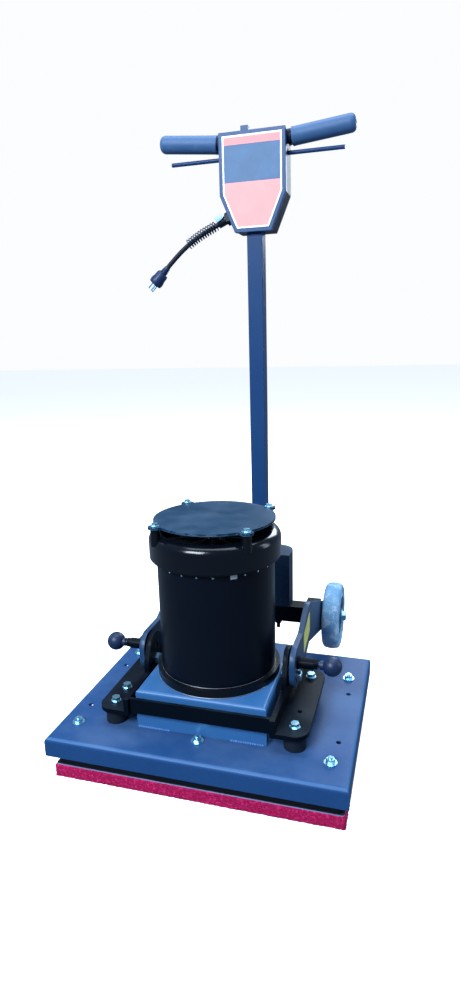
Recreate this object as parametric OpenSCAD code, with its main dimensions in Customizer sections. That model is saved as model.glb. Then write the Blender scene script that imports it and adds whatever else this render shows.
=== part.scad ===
// Orbital floor machine: a square-headed floor scrubber whose pad shakes in a small circle.
// Origin: middle of the deck, on the floor. +X across the machine, +Y back towards the handle
// and the wheels, +Z up. Millimetres.

/* [Pad and driver] */
// Length of the floor pad, side to side
pad_length = 508; // [430:1:620]
// Depth of the floor pad, front to back
pad_depth = 400; // [345:1:480]
// Thickness of the floor pad
pad_thick = 24; // [16:1:30]
// Thickness of the hook sheet that holds the pad
hook_thick = 2; // [1:0.5:4]
// Thickness of the driver plate
driver_thick = 12; // [9:1:16]
// Corner radius of the driver plate
driver_corner = 10; // [6:1:40]
// Half of the pad's travel as it orbits
orbit = 3; // [1.5:0.5:4]

/* [Deck] */
// How far the deck reaches past the pad on each side
deck_over = 8; // [6:1:20]
// Height of the deck's rim
rim_height = 35; // [28:1:60]
// Gap between the rim's lower edge and the driver plate
rim_gap = 7; // [4:1:12]
// Thickness of the deck's sheet
sheet = 3; // [2:0.5:4]
// Radius of the deck's folded top edges
deck_edge = 8; // [5:1:14]
// How far the motor's axis lies in front of the deck's middle
motor_forward = 17; // [0:1:30]

/* [Motor] */
// Side of the square riser box under the motor
riser_width = 235; // [228:1:240]
// Height of the riser box
riser_height = 70; // [64:1:90]
// Outside radius of the motor's shell
motor_radius = 105; // [92:1:108]
// Height of the motor's shell
shell_height = 207; // [170:1:260]
// Wall of the motor's shell
shell_wall = 4; // [3:0.5:6]
// Radius of the motor's shaft
shaft_radius = 12; // [9:0.5:14]
// Height of the fan cowl, from its lower edge to its top
cowl_height = 45; // [40:1:60]
// Gap between the fan cowl and the cover disc
cover_lift = 17; // [10:1:30]
// Number of small vent holes round the shell
vent_count = 24; // [12:1:36]

/* [Frame and arms] */
// Height of the rubber mounts under the frame
mount_height = 28; // [22:1:30]
// Thickness of the arm plates
arm_thick = 10; // [6:1:12]
// Thickness of the bracket's ear
ear_thick = 9; // [6:1:10]
// Distance from the pivot back to the wheel axle
axle_back = 335; // [315:1:400]
// Height of the wheel axle
axle_height = 120; // [110:1:140]
// Radius of the pivot bolts
pivot_radius = 8; // [6:0.5:9]
// Radius of the locking pins
lock_radius = 5; // [4:0.5:5.5]
// Tilt of the handle before the wheels reach the floor, in degrees
handle_tilt = 7.5; // [4:0.5:10]

/* [Wheels] */
// Radius of the wheels
wheel_radius = 75; // [60:1:82]
// Width of the wheels
wheel_width = 37; // [28:1:44]
// Radius of the axle bolts
axle_radius = 8; // [6:0.5:9]

/* [Handle] */
// Side of the square handle tube
tube_side = 32; // [28:1:36]
// Wall of the handle tube
tube_wall = 2.5; // [2:0.5:4]
// Height of the control box's lower edge
head_bottom = 953; // [820:1:1060]
// Height of the control box
head_height = 187; // [175:1:220]
// Width of the control box
head_width = 136; // [124:1:160]
// Depth of the control box behind its lid
head_depth = 48; // [46:1:60]
// Depth of the lid
lid_depth = 12; // [8:1:18]
// Radius of the hand grips
grip_radius = 17; // [15:0.5:20]
// Length of each hand grip
grip_length = 124; // [100:1:140]
// Upward slope of the handlebar's ends, in degrees
bar_rise = 5.8; // [3:0.1:7]
// Radius of the trigger bar
trigger_radius = 4; // [3:0.5:4.5]
// Travel of the trigger bar
trigger_travel = 4; // [2:0.5:4.5]

/* [Cord] */
// Diameter of the power cord
cord_diameter = 10; // [7:0.5:11]

/* [Hidden] */
$fn = 64;

// Clearances
run_fit = 0.05;    // radial, between a shaft and the bore it turns in
loose_fit = 0.3;   // between pieces that move past each other or are slipped together

// Heights of the pad stack and the deck
hook_z = pad_thick;
driver_z = hook_z + hook_thick;
driver_top = driver_z + driver_thick;
rim_z = driver_top + rim_gap;
deck_z = rim_z + rim_height;
deck_length = pad_length + 2 * deck_over;
deck_depth = pad_depth + 2 * deck_over;
motor_y = -motor_forward;
deck_hole = 70;
rubber_radius = 16;
mount_radius = 19;

// Bolts on the deck
bolt_radius = 4;
washer_radius = 11;
washer_thick = 1.6;
nut_thick = 6.5;
nut_flats = 13;
deck_bolt_x = deck_length / 2 - 36;
deck_bolt_front = motor_y - riser_width / 2 - 15.5;
deck_bolt_back = motor_y + riser_width / 2 + 14.5;
deck_bolt_places = [
    for (y = [deck_bolt_front, deck_bolt_back]) for (x = [-deck_bolt_x, 0, deck_bolt_x]) [x, y]
];
side_hole_x = deck_length / 2 - 30;
side_hole_places = [for (s = [-1, 1]) for (y = [-94, 58]) [s * side_hole_x, y]];
side_hole_radius = 4.5;

// Motor heights, from the riser's top upwards
motor_z = deck_z + riser_height;
bell_ring = 15;
bell_flange = motor_radius + 8;
shell_z = motor_z + bell_ring;
shell_top = shell_z + shell_height;
upper_bell_thick = 8;
cowl_lip = 3;
cowl_z = shell_top + cowl_lip;
cowl_wall = 2.5;
cowl_round = 15;
cowl_radius = motor_radius + 10 + cowl_wall;
cowl_top = cowl_z + cowl_height;
cowl_mouth = cowl_radius - 21;
cover_z = cowl_top + cover_lift;
cover_thick = 4;
cover_radius = cowl_radius - 9.5;
cover_bolt_reach = (cowl_radius - 4.4) / sqrt(2);
boss_top = cowl_top;
boss_radius = 8.5;
boss_depth = 13;
bearing_radius = shaft_radius + 14;
bearing_width = 18;
lower_bearing_z = motor_z + 2;
upper_bearing_z = shell_top - 12;
fan_z = cowl_z + 9;
fan_height = 20;
fan_radius = cowl_mouth - 10;
shaft_bottom = driver_top + 4;
shaft_top = fan_z + fan_height + 2;
rotor_radius = motor_radius - 45;
air_gap = 0.8;
stator_z = shell_z + 50;
stator_height = shell_height - 95;
motor_bolt_circle = 88;

// Orbit drive
hub_radius = shaft_radius + 12;
hub_height = 24;
orbit_bearing_radius = hub_radius + 16;
housing_radius = orbit_bearing_radius + 10;
housing_flange = housing_radius + 18;
weight_radius = 58;
weight_z = deck_z + 18;
weight_height = 20;

// Frame brackets and pivots
frame_z = deck_z + mount_height;
flange_thick = 8;
ear_in = max(riser_width / 2, cowl_radius) + 8.5;
ear_out = ear_in + ear_thick;
flange_out = ear_out + 53;
arm_in = ear_out + 3;
arm_out = arm_in + arm_thick;
bracket_front = motor_y - riser_width / 2 - 15.5;
bracket_back = motor_y + 87;
leg_back = motor_y + riser_width / 2 + 14.5;
leg_top = frame_z + 31;
mount_x = ear_out + 28;
mount_front_y = bracket_front + 28;
mount_back_y = bracket_back - 28;
spare_hole_y = motor_y - 59;
pivot_z = motor_z;
lock_rise = 26;
ear_radius = 28;
bar_thick = 6;
bar_height = 27;

// Arm outline: circles [y, z, radius] joined by their tangents
axle_y = motor_y + axle_back;
arm_end = 30;
arm_circles = [
    [motor_y, pivot_z + 10, arm_end],
    [motor_y, pivot_z + lock_rise, arm_end],
    [motor_y + 62, pivot_z + 22, 34],
    [motor_y + 129, pivot_z + 45, 40],
    [axle_y, axle_height, arm_end]
];

// Crossbar and rear box
cross_side = 38;
cross_inner = cross_side - 6;
cross_plug = 40;
cross_top = axle_height + cross_side / 2;
cross_pad_height = 11;
cross_pad_width = 31;
axle_washer = 2;
wheel_in = arm_out + axle_washer + 0.5;
wheel_out = wheel_in + wheel_width;
hub_outer = wheel_radius - 30;
rear_box_width = 142;
rear_box_front = axle_y - tube_side / 2 - 8;
rear_box_depth = 75;
rear_box_height = 126;
rear_box_wall = 2.5;
rear_box_corner = 34;
socket_height = 96;
socket_wall = 2.5;

// Locking plungers
plunger_z = pivot_z + lock_rise;
pin_reach = 8;
housing_bore = 8;
housing_out = arm_out + 30;
ball_radius = 17.6;
ball_x = housing_out + 32;
plunger_travel = 10;
collar_x = housing_out - 10 - plunger_travel;

// Control box
tube_top = head_bottom + 107;
head_y = axle_y - tube_side / 2;
head_back = head_y + head_depth;
head_wall = 3;
head_top = head_bottom + head_height;
head_shoulder = head_bottom + 71;
head_foot = head_width / 2 - 30;
label_inset = 7.5;
label_thick = 0.6;
bar_y = axle_y - 1;
bar_radius = 11;
bar_z = head_top - 21.7;
grip_start = head_width / 2 + 8;
grip_round = 6;
collar_width = 7;
trigger_y = axle_y + 2;
trigger_z = bar_z - bar_radius - trigger_travel - trigger_radius - 1.2;
trigger_reach = grip_start + 103;
tab_back = 18;
switch_y = bar_y + bar_radius + 3;
switch_gap = trigger_travel + 0.5;
button_x = -26;
button_y = head_back - 10;
button_width = 16;
button_depth = 12;
button_travel = 5;
button_top = head_top + 17 + button_travel;

// Cord: gland square to the box's slanted side, then the route as [x, z] at the axle's y
slant = atan2(head_width / 2 - head_foot, head_shoulder - head_bottom);
gland_rise = 35;
gland_foot = [-head_foot - gland_rise * tan(slant), head_bottom + gland_rise];
gland_length = 30;
gland_bore = cord_diameter / 2;
cord_route = [
    [-80, 976], [-90, 971.5], [-100, 967], [-110, 962.5], [-120, 957.5], [-130, 952],
    [-139, 946.5], [-148, 940.5], [-156, 934.5], [-164, 928.5], [-171, 922.5], [-178, 916.5],
    [-185, 910], [-192, 903.5], [-199, 896.5]
];
cord_sides = 12;
spring_radius = 11;
spring_wire = 1.2;
spring_turns = 12;
spring_steps = 12;
spring_first = 0.6;   // in route points, where the spring starts and ends
spring_last = 7;
plug_length = 45;
plug_radius = 15;

// ---------- helpers ----------

// A block whose four top edges are rounded like a folded sheet's.
module soft_block(w, d, h, r) {
    intersection() {
        rotate([90, 0, 0]) linear_extrude(d, center = true) soft_profile(w, h, r);
        rotate([90, 0, 90]) linear_extrude(w, center = true) soft_profile(d, h, r);
    }
}

module soft_profile(w, h, r) {
    translate([-w / 2, 0]) square([w, h - r]);
    translate([-w / 2 + r, 0]) square([w - 2 * r, h]);
    for (s = [-1, 1]) translate([s * (w / 2 - r), h - r]) circle(r);
}

// A folded sheet cover, open below.
module folded_cover(w, d, h, r, t) {
    difference() {
        soft_block(w, d, h, r);
        translate([0, 0, -1]) soft_block(w - 2 * t, d - 2 * t, h - t + 1, r - t);
    }
}

module rounded_plate(w, d, h, r) {
    linear_extrude(h) {
        square([w - 2 * r, d], center = true);
        square([w, d - 2 * r], center = true);
        for (x = [-1, 1]) for (y = [-1, 1]) translate([x * (w / 2 - r), y * (d / 2 - r)]) circle(r);
    }
}

module ring(outer, inner, h) {
    difference() {
        cylinder(r = outer, h = h);
        translate([0, 0, -1]) cylinder(r = inner, h = h + 2);
    }
}

module hex(flats, h) { cylinder(r = flats / sqrt(3), h = h, $fn = 6); }

// A hex-headed bolt pointing down from the face at z = 0, with its washer on that face.
module bolt(radius, below, flats, head, washer) {
    translate([0, 0, -below]) cylinder(r = radius, h = below + 0.01);
    cylinder(r = washer, h = washer_thick);
    translate([0, 0, washer_thick - 0.01]) hex(flats, head);
}

// The four corners of the tangent strip between circles p and q, each [y, z, radius].
function tangent_strip(p, q) = let (
    d = norm([q.x - p.x, q.y - p.y]),
    along = atan2(q.y - p.y, q.x - p.x),
    spread = acos((p.z - q.z) / d)
) [
    [p.x + p.z * cos(along + spread), p.y + p.z * sin(along + spread)],
    [p.x + p.z * cos(along - spread), p.y + p.z * sin(along - spread)],
    [q.x + q.z * cos(along - spread), q.y + q.z * sin(along - spread)],
    [q.x + q.z * cos(along + spread), q.y + q.z * sin(along + spread)]
];

module link_outline(circles) {
    for (c = circles) translate([c.x, c.y]) circle(c.z);
    for (i = [1 : len(circles) - 1]) polygon(tangent_strip(circles[i - 1], circles[i]));
}

// Stands a [y, z] outline up as a plate from x to x + t.
module side_plate(x, t) { translate([x, 0, 0]) rotate([90, 0, 90]) linear_extrude(t) children(); }

// A cylinder along +X from x0 to x1, at the given y and z.
module x_cylinder(x0, x1, y, z, r) {
    translate([x0, y, z]) rotate([0, 90, 0]) cylinder(r = r, h = x1 - x0);
}

module x_hex(x0, x1, y, z, flats) {
    translate([x0, y, z]) rotate([0, 90, 0]) hex(flats, x1 - x0);
}

module on_both_sides() {
    children();
    mirror([1, 0, 0]) children();
}

module at_motor(z) { translate([0, motor_y, z]) children(); }

module at_cover_bolts(z) {
    at_motor(z) for (x = [-1, 1]) for (y = [-1, 1])
        translate([x * cover_bolt_reach, y * cover_bolt_reach, 0]) children();
}

module round_places(count, radius) {
    for (i = [0 : count - 1]) rotate(i * 360 / count) translate([radius, 0, 0]) children();
}

// ---------- deck ----------

module deck_cover() {
    color([0.36, 0.4, 0.44]) difference() {
        translate([0, 0, rim_z]) folded_cover(deck_length, deck_depth, rim_height, deck_edge, sheet);
        at_motor(deck_z - 20) cylinder(r = deck_hole, h = 40);
        for (p = deck_bolt_places) translate([p.x, p.y, deck_z - 20])
            cylinder(r = bolt_radius + loose_fit, h = 40);
        for (p = side_hole_places) translate([p.x, p.y, deck_z - 20])
            cylinder(r = side_hole_radius, h = 40);
    }
}

module deck_bolts() {
    color("silver") for (p = deck_bolt_places) translate([p.x, p.y, deck_z]) {
        bolt(bolt_radius, sheet + 12, nut_flats, nut_thick, washer_radius);
        cylinder(r = bolt_radius - 0.5, h = washer_thick + nut_thick + 3);
    }
}

module pad_isolators() {
    puck = deck_z - sheet - driver_top - loose_fit;
    color([0.1, 0.1, 0.1]) for (p = deck_bolt_places)
        translate([p.x, p.y, driver_top + loose_fit]) difference() {
            cylinder(r = rubber_radius, h = puck);
            translate([0, 0, puck - 12]) cylinder(r = bolt_radius, h = 13);
        }
}

module motor_riser() {
    color([0.36, 0.4, 0.44]) at_motor(deck_z) difference() {
        folded_cover(riser_width, riser_width, riser_height, deck_edge - 2, sheet);
        translate([0, 0, riser_height - 10]) {
            cylinder(r = deck_hole, h = 20);
            rotate(45) round_places(4, motor_bolt_circle) cylinder(r = bolt_radius + loose_fit, h = 20);
        }
    }
}

module frame_isolators() {
    color([0.1, 0.1, 0.1]) on_both_sides() for (y = [mount_front_y, mount_back_y])
        translate([mount_x, y, deck_z]) difference() {
            cylinder(r = mount_radius, h = mount_height);
            translate([0, 0, mount_height - 14]) cylinder(r = bolt_radius, h = 15);
        }
}

module isolator_bolts() {
    top = frame_z + flange_thick;
    color("silver") {
        on_both_sides() for (y = [mount_front_y, mount_back_y])
            translate([mount_x, y, top]) bolt(bolt_radius, flange_thick + 14, nut_flats, nut_thick, 9);
        translate([-mount_x, spare_hole_y, top]) bolt(bolt_radius, flange_thick + 5, nut_flats, nut_thick, 9);
    }
}

module side_brackets() {
    color([0.05, 0.05, 0.05]) on_both_sides() difference() {
        union() {
            bracket_flange();
            translate([ear_in, bracket_front, frame_z])
                cube([ear_thick, leg_back - bracket_front, leg_top - frame_z]);
            side_plate(ear_in, ear_thick) link_outline([
                [motor_y, frame_z + 40, 40], [motor_y, pivot_z + lock_rise, ear_radius]
            ]);
        }
        x_cylinder(ear_in - 1, ear_out + 1, motor_y, pivot_z, pivot_radius);
        for (tilt = [0 : handle_tilt / 6 : handle_tilt]) lock_hole(tilt);
        for (y = [mount_front_y, mount_back_y, spare_hole_y])
            translate([mount_x, y, frame_z - 1]) cylinder(r = bolt_radius + loose_fit, h = flange_thick + 2);
    }
}

module bracket_flange() {
    reach = flange_out - ear_in;
    corner = 25;
    span = bracket_back - bracket_front;
    translate([ear_in, bracket_front, frame_z]) linear_extrude(flange_thick) {
        square([reach - corner, span]);
        translate([0, corner]) square([reach, span - 2 * corner]);
        for (y = [corner, span - corner]) translate([reach - corner, y]) circle(corner);
    }
}

// One step of the curved slot that the locking pin follows as the handle tilts.
module lock_hole(tilt) {
    x_cylinder(ear_in - 1, ear_out + 1, motor_y + lock_rise * sin(tilt),
        pivot_z + lock_rise * cos(tilt), lock_radius + loose_fit);
}

module frame_bars() {
    front_y = bracket_front + 5;
    color([0.05, 0.05, 0.05]) for (y = [front_y, leg_back - 10])
        translate([-ear_in, y, leg_top - bar_height]) cube([2 * ear_in, bar_thick, bar_height]);
}

// ---------- motor ----------

module lower_bell() {
    color([0.04, 0.04, 0.05]) at_motor(motor_z) difference() {
        union() {
            cylinder(r = bell_flange, h = bell_ring);
            cylinder(r = bearing_radius + 10, h = bell_ring + 12);
        }
        translate([0, 0, -1]) cylinder(r = shaft_radius + 4, h = 40);
        translate([0, 0, lower_bearing_z - motor_z]) cylinder(r = bearing_radius, h = 40);
        rotate(45) round_places(4, motor_bolt_circle) translate([0, 0, -1]) cylinder(r = bolt_radius, h = 13);
    }
}

module motor_bolts() {
    color("silver") at_motor(motor_z - sheet) rotate(45) round_places(4, motor_bolt_circle)
        mirror([0, 0, 1]) bolt(bolt_radius, sheet + 12, nut_flats, 5, 9);
}

module motor_shell() {
    color([0.05, 0.06, 0.08]) at_motor(shell_z) difference() {
        ring(motor_radius, motor_radius - shell_wall, shell_height);
        translate([0, 0, shell_height - 7]) round_places(vent_count, motor_radius)
            rotate([0, 90, 0]) cylinder(r = 1.5, h = 3 * shell_wall, center = true);
    }
}

module stator_core() {
    color([0.45, 0.45, 0.48]) at_motor(stator_z) difference() {
        cylinder(r = motor_radius - shell_wall, h = stator_height);
        translate([0, 0, -1]) cylinder(r = rotor_radius + air_gap, h = stator_height + 2);
        round_places(12, rotor_radius + 20) translate([0, 0, -1]) cylinder(r = 8, h = stator_height + 2);
    }
}

module stator_windings() {
    color([0.72, 0.4, 0.2]) at_motor(stator_z) {
        round_places(12, rotor_radius + 20) cylinder(r = 8, h = stator_height);
        for (z = [-22, stator_height]) translate([0, 0, z]) ring(rotor_radius + 30, rotor_radius + 10, 22);
    }
}

module motor_bearings() {
    color([0.75, 0.75, 0.78]) for (z = [lower_bearing_z, upper_bearing_z]) at_motor(z)
        ring(bearing_radius, shaft_radius + run_fit, bearing_width);
}

module upper_bell() {
    color([0.04, 0.04, 0.05]) at_motor(shell_top) difference() {
        union() {
            cylinder(r = cowl_radius - cowl_wall, h = upper_bell_thick);
            translate([0, 0, -14]) cylinder(r = bearing_radius + 8, h = 15);
        }
        translate([0, 0, upper_bearing_z - shell_top]) cylinder(r = bearing_radius, h = bearing_width);
        translate([0, 0, -20]) cylinder(r = shaft_radius + 4, h = 40);
        round_places(8, rotor_radius + 16) translate([0, 0, -1]) cylinder(r = 10, h = 20);
    }
}

module cowl_profile(inset) {
    radius = cowl_radius - inset;
    height = cowl_height - inset;
    turn = cowl_round - inset;
    square([radius, height - turn]);
    square([radius - turn, height]);
    translate([radius - turn, height - turn]) circle(turn);
}

module fan_cowl() {
    color([0.06, 0.08, 0.11]) difference() {
        union() {
            at_motor(cowl_z) rotate_extrude() intersection() {
                difference() {
                    cowl_profile(0);
                    translate([0, -0.01]) cowl_profile(cowl_wall);
                }
                translate([cowl_mouth, -1]) square([60, 80]);
            }
            at_cover_bolts(boss_top - boss_depth) cylinder(r = boss_radius, h = boss_depth);
        }
        at_cover_bolts(boss_top - 20) cylinder(r = 3, h = 30);
    }
}

module cover_spacers() {
    color([0.06, 0.06, 0.07]) at_cover_bolts(boss_top) ring(boss_radius - 0.5, 3, cover_z - boss_top);
}

module cover_disc() {
    color([0.2, 0.28, 0.36]) difference() {
        at_motor(cover_z) {
            cylinder(r = cover_radius, h = cover_thick);
            for (turn = [45, 135]) rotate(turn)
                translate([0, 0, cover_thick / 2]) cube([2.83 * cover_bolt_reach, 24, cover_thick], center = true);
            for (turn = [45 : 90 : 315]) rotate(turn)
                translate([sqrt(2) * cover_bolt_reach, 0, 0]) cylinder(r = 12, h = cover_thick);
        }
        at_cover_bolts(cover_z - 1) cylinder(r = 3, h = cover_thick + 2);
    }
}

module cover_bolts() {
    color("silver") at_cover_bolts(cover_z + cover_thick)
        bolt(3, cover_z + cover_thick - boss_top + 12, 10, 4, 8);
}

module motor_shaft() {
    color([0.7, 0.7, 0.72]) at_motor(shaft_bottom) cylinder(r = shaft_radius, h = shaft_top - shaft_bottom);
}

module rotor_core() {
    color([0.5, 0.5, 0.52]) at_motor(stator_z) difference() {
        cylinder(r = rotor_radius, h = stator_height);
        translate([0, 0, -1]) cylinder(r = shaft_radius, h = stator_height + 2);
    }
}

module cooling_fan() {
    color([0.3, 0.3, 0.3]) at_motor(fan_z) difference() {
        union() {
            cylinder(r = shaft_radius + 8, h = fan_height);
            cylinder(r = fan_radius, h = 2);
            for (i = [0 : 8]) rotate(i * 40) translate([shaft_radius + 2, -1.5, 0])
                cube([fan_radius - shaft_radius - 3, 3, fan_height]);
        }
        translate([0, 0, -1]) cylinder(r = shaft_radius, h = fan_height + 2);
    }
}

// ---------- orbit drive and pad ----------

module eccentric_hub() {
    color([0.6, 0.6, 0.62]) difference() {
        translate([orbit, motor_y, shaft_bottom - 1]) cylinder(r = hub_radius, h = hub_height);
        at_motor(shaft_bottom) cylinder(r = shaft_radius, h = 60);
    }
}

module counterweight() {
    color([0.4, 0.4, 0.42]) at_motor(weight_z) difference() {
        union() {
            cylinder(r = shaft_radius + 12, h = weight_height);
            intersection() {
                cylinder(r = weight_radius, h = weight_height);
                translate([-weight_radius, -weight_radius, 0])
                    cube([weight_radius, 2 * weight_radius, weight_height]);
            }
        }
        translate([0, 0, -1]) cylinder(r = shaft_radius, h = weight_height + 2);
    }
}

module orbit_bearing() {
    color([0.75, 0.75, 0.78]) translate([orbit, motor_y, shaft_bottom])
        ring(orbit_bearing_radius, hub_radius + run_fit, bearing_width);
}

module bearing_housing() {
    color([0.3, 0.3, 0.32]) translate([orbit, motor_y, driver_top]) difference() {
        union() {
            cylinder(r = housing_flange, h = 6);
            cylinder(r = housing_radius, h = bearing_width + 6);
        }
        translate([0, 0, 4]) cylinder(r = orbit_bearing_radius, h = 40);
        translate([0, 0, 2]) cylinder(r = hub_radius + 4, h = 40);
        round_places(6, housing_radius + 9) translate([0, 0, -1]) cylinder(r = bolt_radius, h = 8);
    }
}

module driver_bolts() {
    color("silver") translate([orbit, motor_y, driver_top + 6])
        round_places(6, housing_radius + 9) bolt(bolt_radius, 14, nut_flats, 5, 7.4);
}

module pad_driver() {
    color([0.05, 0.05, 0.05]) difference() {
        translate([orbit, 0, driver_z])
            rounded_plate(pad_length - 8, pad_depth - 8, driver_thick, driver_corner);
        translate([orbit, motor_y, driver_top - 8])
            round_places(6, housing_radius + 9) cylinder(r = bolt_radius, h = 9);
    }
}

module hook_layer() {
    color([0.8, 0.8, 0.8]) translate([orbit, 0, hook_z])
        rounded_plate(pad_length - 4, pad_depth - 4, hook_thick, 6);
}

module floor_pad() {
    color([0.6, 0.1, 0.3]) translate([orbit, 0, 0]) rounded_plate(pad_length, pad_depth, pad_thick, 5);
}

// ---------- handle frame ----------

module arm() {
    difference() {
        side_plate(arm_in, arm_thick) link_outline(arm_circles);
        x_cylinder(arm_in - 1, arm_out + 1, motor_y, pivot_z, pivot_radius + run_fit);
        x_cylinder(arm_in - 1, arm_out + 1, motor_y, plunger_z, lock_radius + run_fit);
        x_cylinder(arm_in - 1, arm_out + 1, axle_y, axle_height, axle_radius);
    }
}

module left_arm() { color([0.14, 0.16, 0.2]) mirror([1, 0, 0]) arm(); }

module right_arm() { color([0.14, 0.16, 0.2]) arm(); }

module pivot_bolts() {
    color("silver") on_both_sides() {
        x_hex(ear_in - 6, ear_in, motor_y, pivot_z, 20);
        x_cylinder(ear_in - 0.01, arm_out + 7, motor_y, pivot_z, pivot_radius);
        x_cylinder(ear_out + 0.3, arm_in - 0.3, motor_y, pivot_z, 14);
        x_cylinder(arm_out + 0.3, arm_out + 1.6, motor_y, pivot_z, 11);
        x_hex(arm_out + 1.5, arm_out + 6, motor_y, pivot_z, 18);
    }
}

module crossbar() {
    color([0.06, 0.06, 0.07]) difference() {
        union() {
            translate([-arm_in, axle_y - cross_side / 2, axle_height - cross_side / 2])
                cube([2 * arm_in, cross_side, cross_side]);
            on_both_sides() translate([arm_in - cross_pad_width, axle_y - cross_side / 2, cross_top - 1])
                cube([cross_pad_width, cross_side, cross_pad_height + 1]);
        }
        translate([-arm_in + cross_plug, axle_y - cross_inner / 2, axle_height - cross_inner / 2])
            cube([2 * (arm_in - cross_plug), cross_inner, cross_inner]);
        on_both_sides() x_cylinder(arm_in - cross_plug - 1, arm_in + 1, axle_y, axle_height, axle_radius);
    }
}

module axle_bolts() {
    color("silver") on_both_sides() {
        x_cylinder(arm_in - cross_plug, wheel_out + 10, axle_y, axle_height, axle_radius);
        x_cylinder(arm_out, arm_out + axle_washer, axle_y, axle_height, 14);
        x_cylinder(wheel_out + 0.5, wheel_out + 2.1, axle_y, axle_height, 14);
        x_hex(wheel_out + 2, wheel_out + 9, axle_y, axle_height, 20);
    }
}

module plunger_housings() {
    color([0.12, 0.14, 0.18]) on_both_sides() difference() {
        union() {
            x_cylinder(arm_out, housing_out, motor_y, plunger_z, 10);
            x_cylinder(arm_out, arm_out + 4, motor_y, plunger_z, 12);
            x_hex(housing_out - 0.01, housing_out + 7, motor_y, plunger_z, 17);
        }
        x_cylinder(arm_out - 1, ball_x, motor_y, plunger_z, lock_radius + run_fit);
        x_cylinder(arm_out + 4, housing_out - 4, motor_y, plunger_z, housing_bore);
    }
}

module handle_socket() {
    bore = tube_side + 2 * loose_fit;
    outer = bore + 2 * socket_wall;
    color([0.06, 0.06, 0.07]) translate([0, axle_y, cross_top]) difference() {
        translate([-outer / 2, -outer / 2, 0]) cube([outer, outer, socket_height]);
        translate([-bore / 2, -bore / 2, 3]) cube([bore, bore, socket_height]);
    }
}

module rear_box_outline(inset) {
    half = rear_box_width / 2 - inset;
    front = rear_box_front + inset;
    back = rear_box_front + rear_box_depth - inset;
    turn = rear_box_corner - inset;
    translate([-half, front]) square([2 * half, back - front - turn]);
    translate([-half + turn, front]) square([2 * (half - turn), back - front]);
    for (s = [-1, 1]) translate([s * (half - turn), back - turn]) circle(turn);
}

module capacitor_box() {
    outer = tube_side + 2 * (loose_fit + socket_wall) + 2 * loose_fit;
    mouth = tube_side + 2 * loose_fit;
    color([0.06, 0.07, 0.09]) translate([0, 0, cross_top]) difference() {
        linear_extrude(rear_box_height) rear_box_outline(0);
        translate([0, 0, rear_box_wall])
            linear_extrude(rear_box_height - 2 * rear_box_wall) rear_box_outline(rear_box_wall);
        translate([-outer / 2, axle_y - outer / 2, -1]) cube([outer, outer, 10]);
        translate([-mouth / 2, axle_y - mouth / 2, rear_box_height - 10]) cube([mouth, mouth, 20]);
    }
}

module capacitor() {
    color([0.75, 0.75, 0.77]) translate([45, axle_y + 12, cross_top + rear_box_wall]) {
        cylinder(r = 20, h = 92);
        for (x = [-7, 7]) translate([x, 0, 91]) cylinder(r = 2, h = 9);
    }
}

module handle_tube() {
    inner = tube_side - 2 * tube_wall;
    bottom = cross_top + 3;
    color([0.2, 0.26, 0.34]) translate([0, axle_y, bottom]) difference() {
        translate([-tube_side / 2, -tube_side / 2, 0]) cube([tube_side, tube_side, tube_top - bottom]);
        translate([-inner / 2, -inner / 2, -1]) cube([inner, inner, tube_top - bottom + 2]);
    }
}

// Outline of the control box as [x, z], moved inwards by inset on every side.
module head_outline(inset) {
    half = head_width / 2;
    lean = (half - head_foot) / (head_shoulder - head_bottom);
    shift = inset * sqrt(1 + lean * lean);
    foot = head_foot + lean * inset - shift;
    shoulder = head_bottom + (half - inset - head_foot + shift) / lean;
    polygon([
        [-half + inset, head_top - inset], [-half + inset, shoulder], [-foot, head_bottom + inset],
        [foot, head_bottom + inset], [half - inset, shoulder], [half - inset, head_top - inset]
    ]);
}

// Extrudes a [x, z] outline from y back to y + depth.
module face_plate(y, depth) { translate([0, y + depth, 0]) rotate([90, 0, 0]) linear_extrude(depth) children(); }

module control_box() {
    neck = tube_side + 2 * loose_fit;
    color([0.1, 0.13, 0.18]) difference() {
        face_plate(head_y, head_depth) head_outline(1.5);
        face_plate(head_y - 1, head_depth - head_wall + 1) head_outline(1.5 + head_wall);
        translate([-neck / 2, axle_y - neck / 2, head_bottom - 1]) cube([neck, neck, 12]);
        on_both_sides() along_bar() cylinder(r = bar_radius, h = head_width);
        trigger_slot();
        translate([button_x - button_width / 2 - loose_fit, button_y - button_depth / 2 - loose_fit, head_top - 10])
            cube([button_width + 2 * loose_fit, button_depth + 2 * loose_fit, 20]);
        at_gland() translate([0, 0, -12]) cylinder(r = gland_bore + 3, h = 30);
        at_box_screws() rotate([90, 0, 0]) cylinder(r = 2, h = 30, center = true);
    }
}

module trigger_slot() {
    wide = trigger_radius + loose_fit + 0.2;
    for (rise = [0, trigger_travel])
        x_cylinder(-head_width, head_width, trigger_y, trigger_z + rise, wide);
    translate([-head_width, trigger_y - wide, trigger_z]) cube([2 * head_width, 2 * wide, trigger_travel]);
}

module box_lid() {
    color([0.16, 0.22, 0.32]) difference() {
        face_plate(head_y - lid_depth, lid_depth) head_outline(0);
        face_plate(head_y - lid_depth + head_wall, lid_depth) head_outline(head_wall);
    }
}

module label_plate() {
    color([0.75, 0.3, 0.35]) face_plate(head_y - lid_depth - label_thick, label_thick) head_outline(label_inset);
}

module at_box_screws() {
    for (x = [-1, 1]) translate([x * (head_width / 2 - 28), head_back, head_top - 15]) children();
    for (x = [-1, 1]) translate([x * (head_foot - 13), head_back, head_bottom + 25]) children();
}

module box_screws() {
    color("silver") at_box_screws() rotate([90, 0, 0]) {
        cylinder(r = 2, h = 9);
        translate([0, 0, -2.2]) cylinder(r = 4, h = 2.2);
    }
}

// Frame of the right half of the handlebar, +Z running outwards along it.
module along_bar() { translate([0, bar_y, bar_z]) rotate([0, 90 - bar_rise, 0]) children(); }

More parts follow.
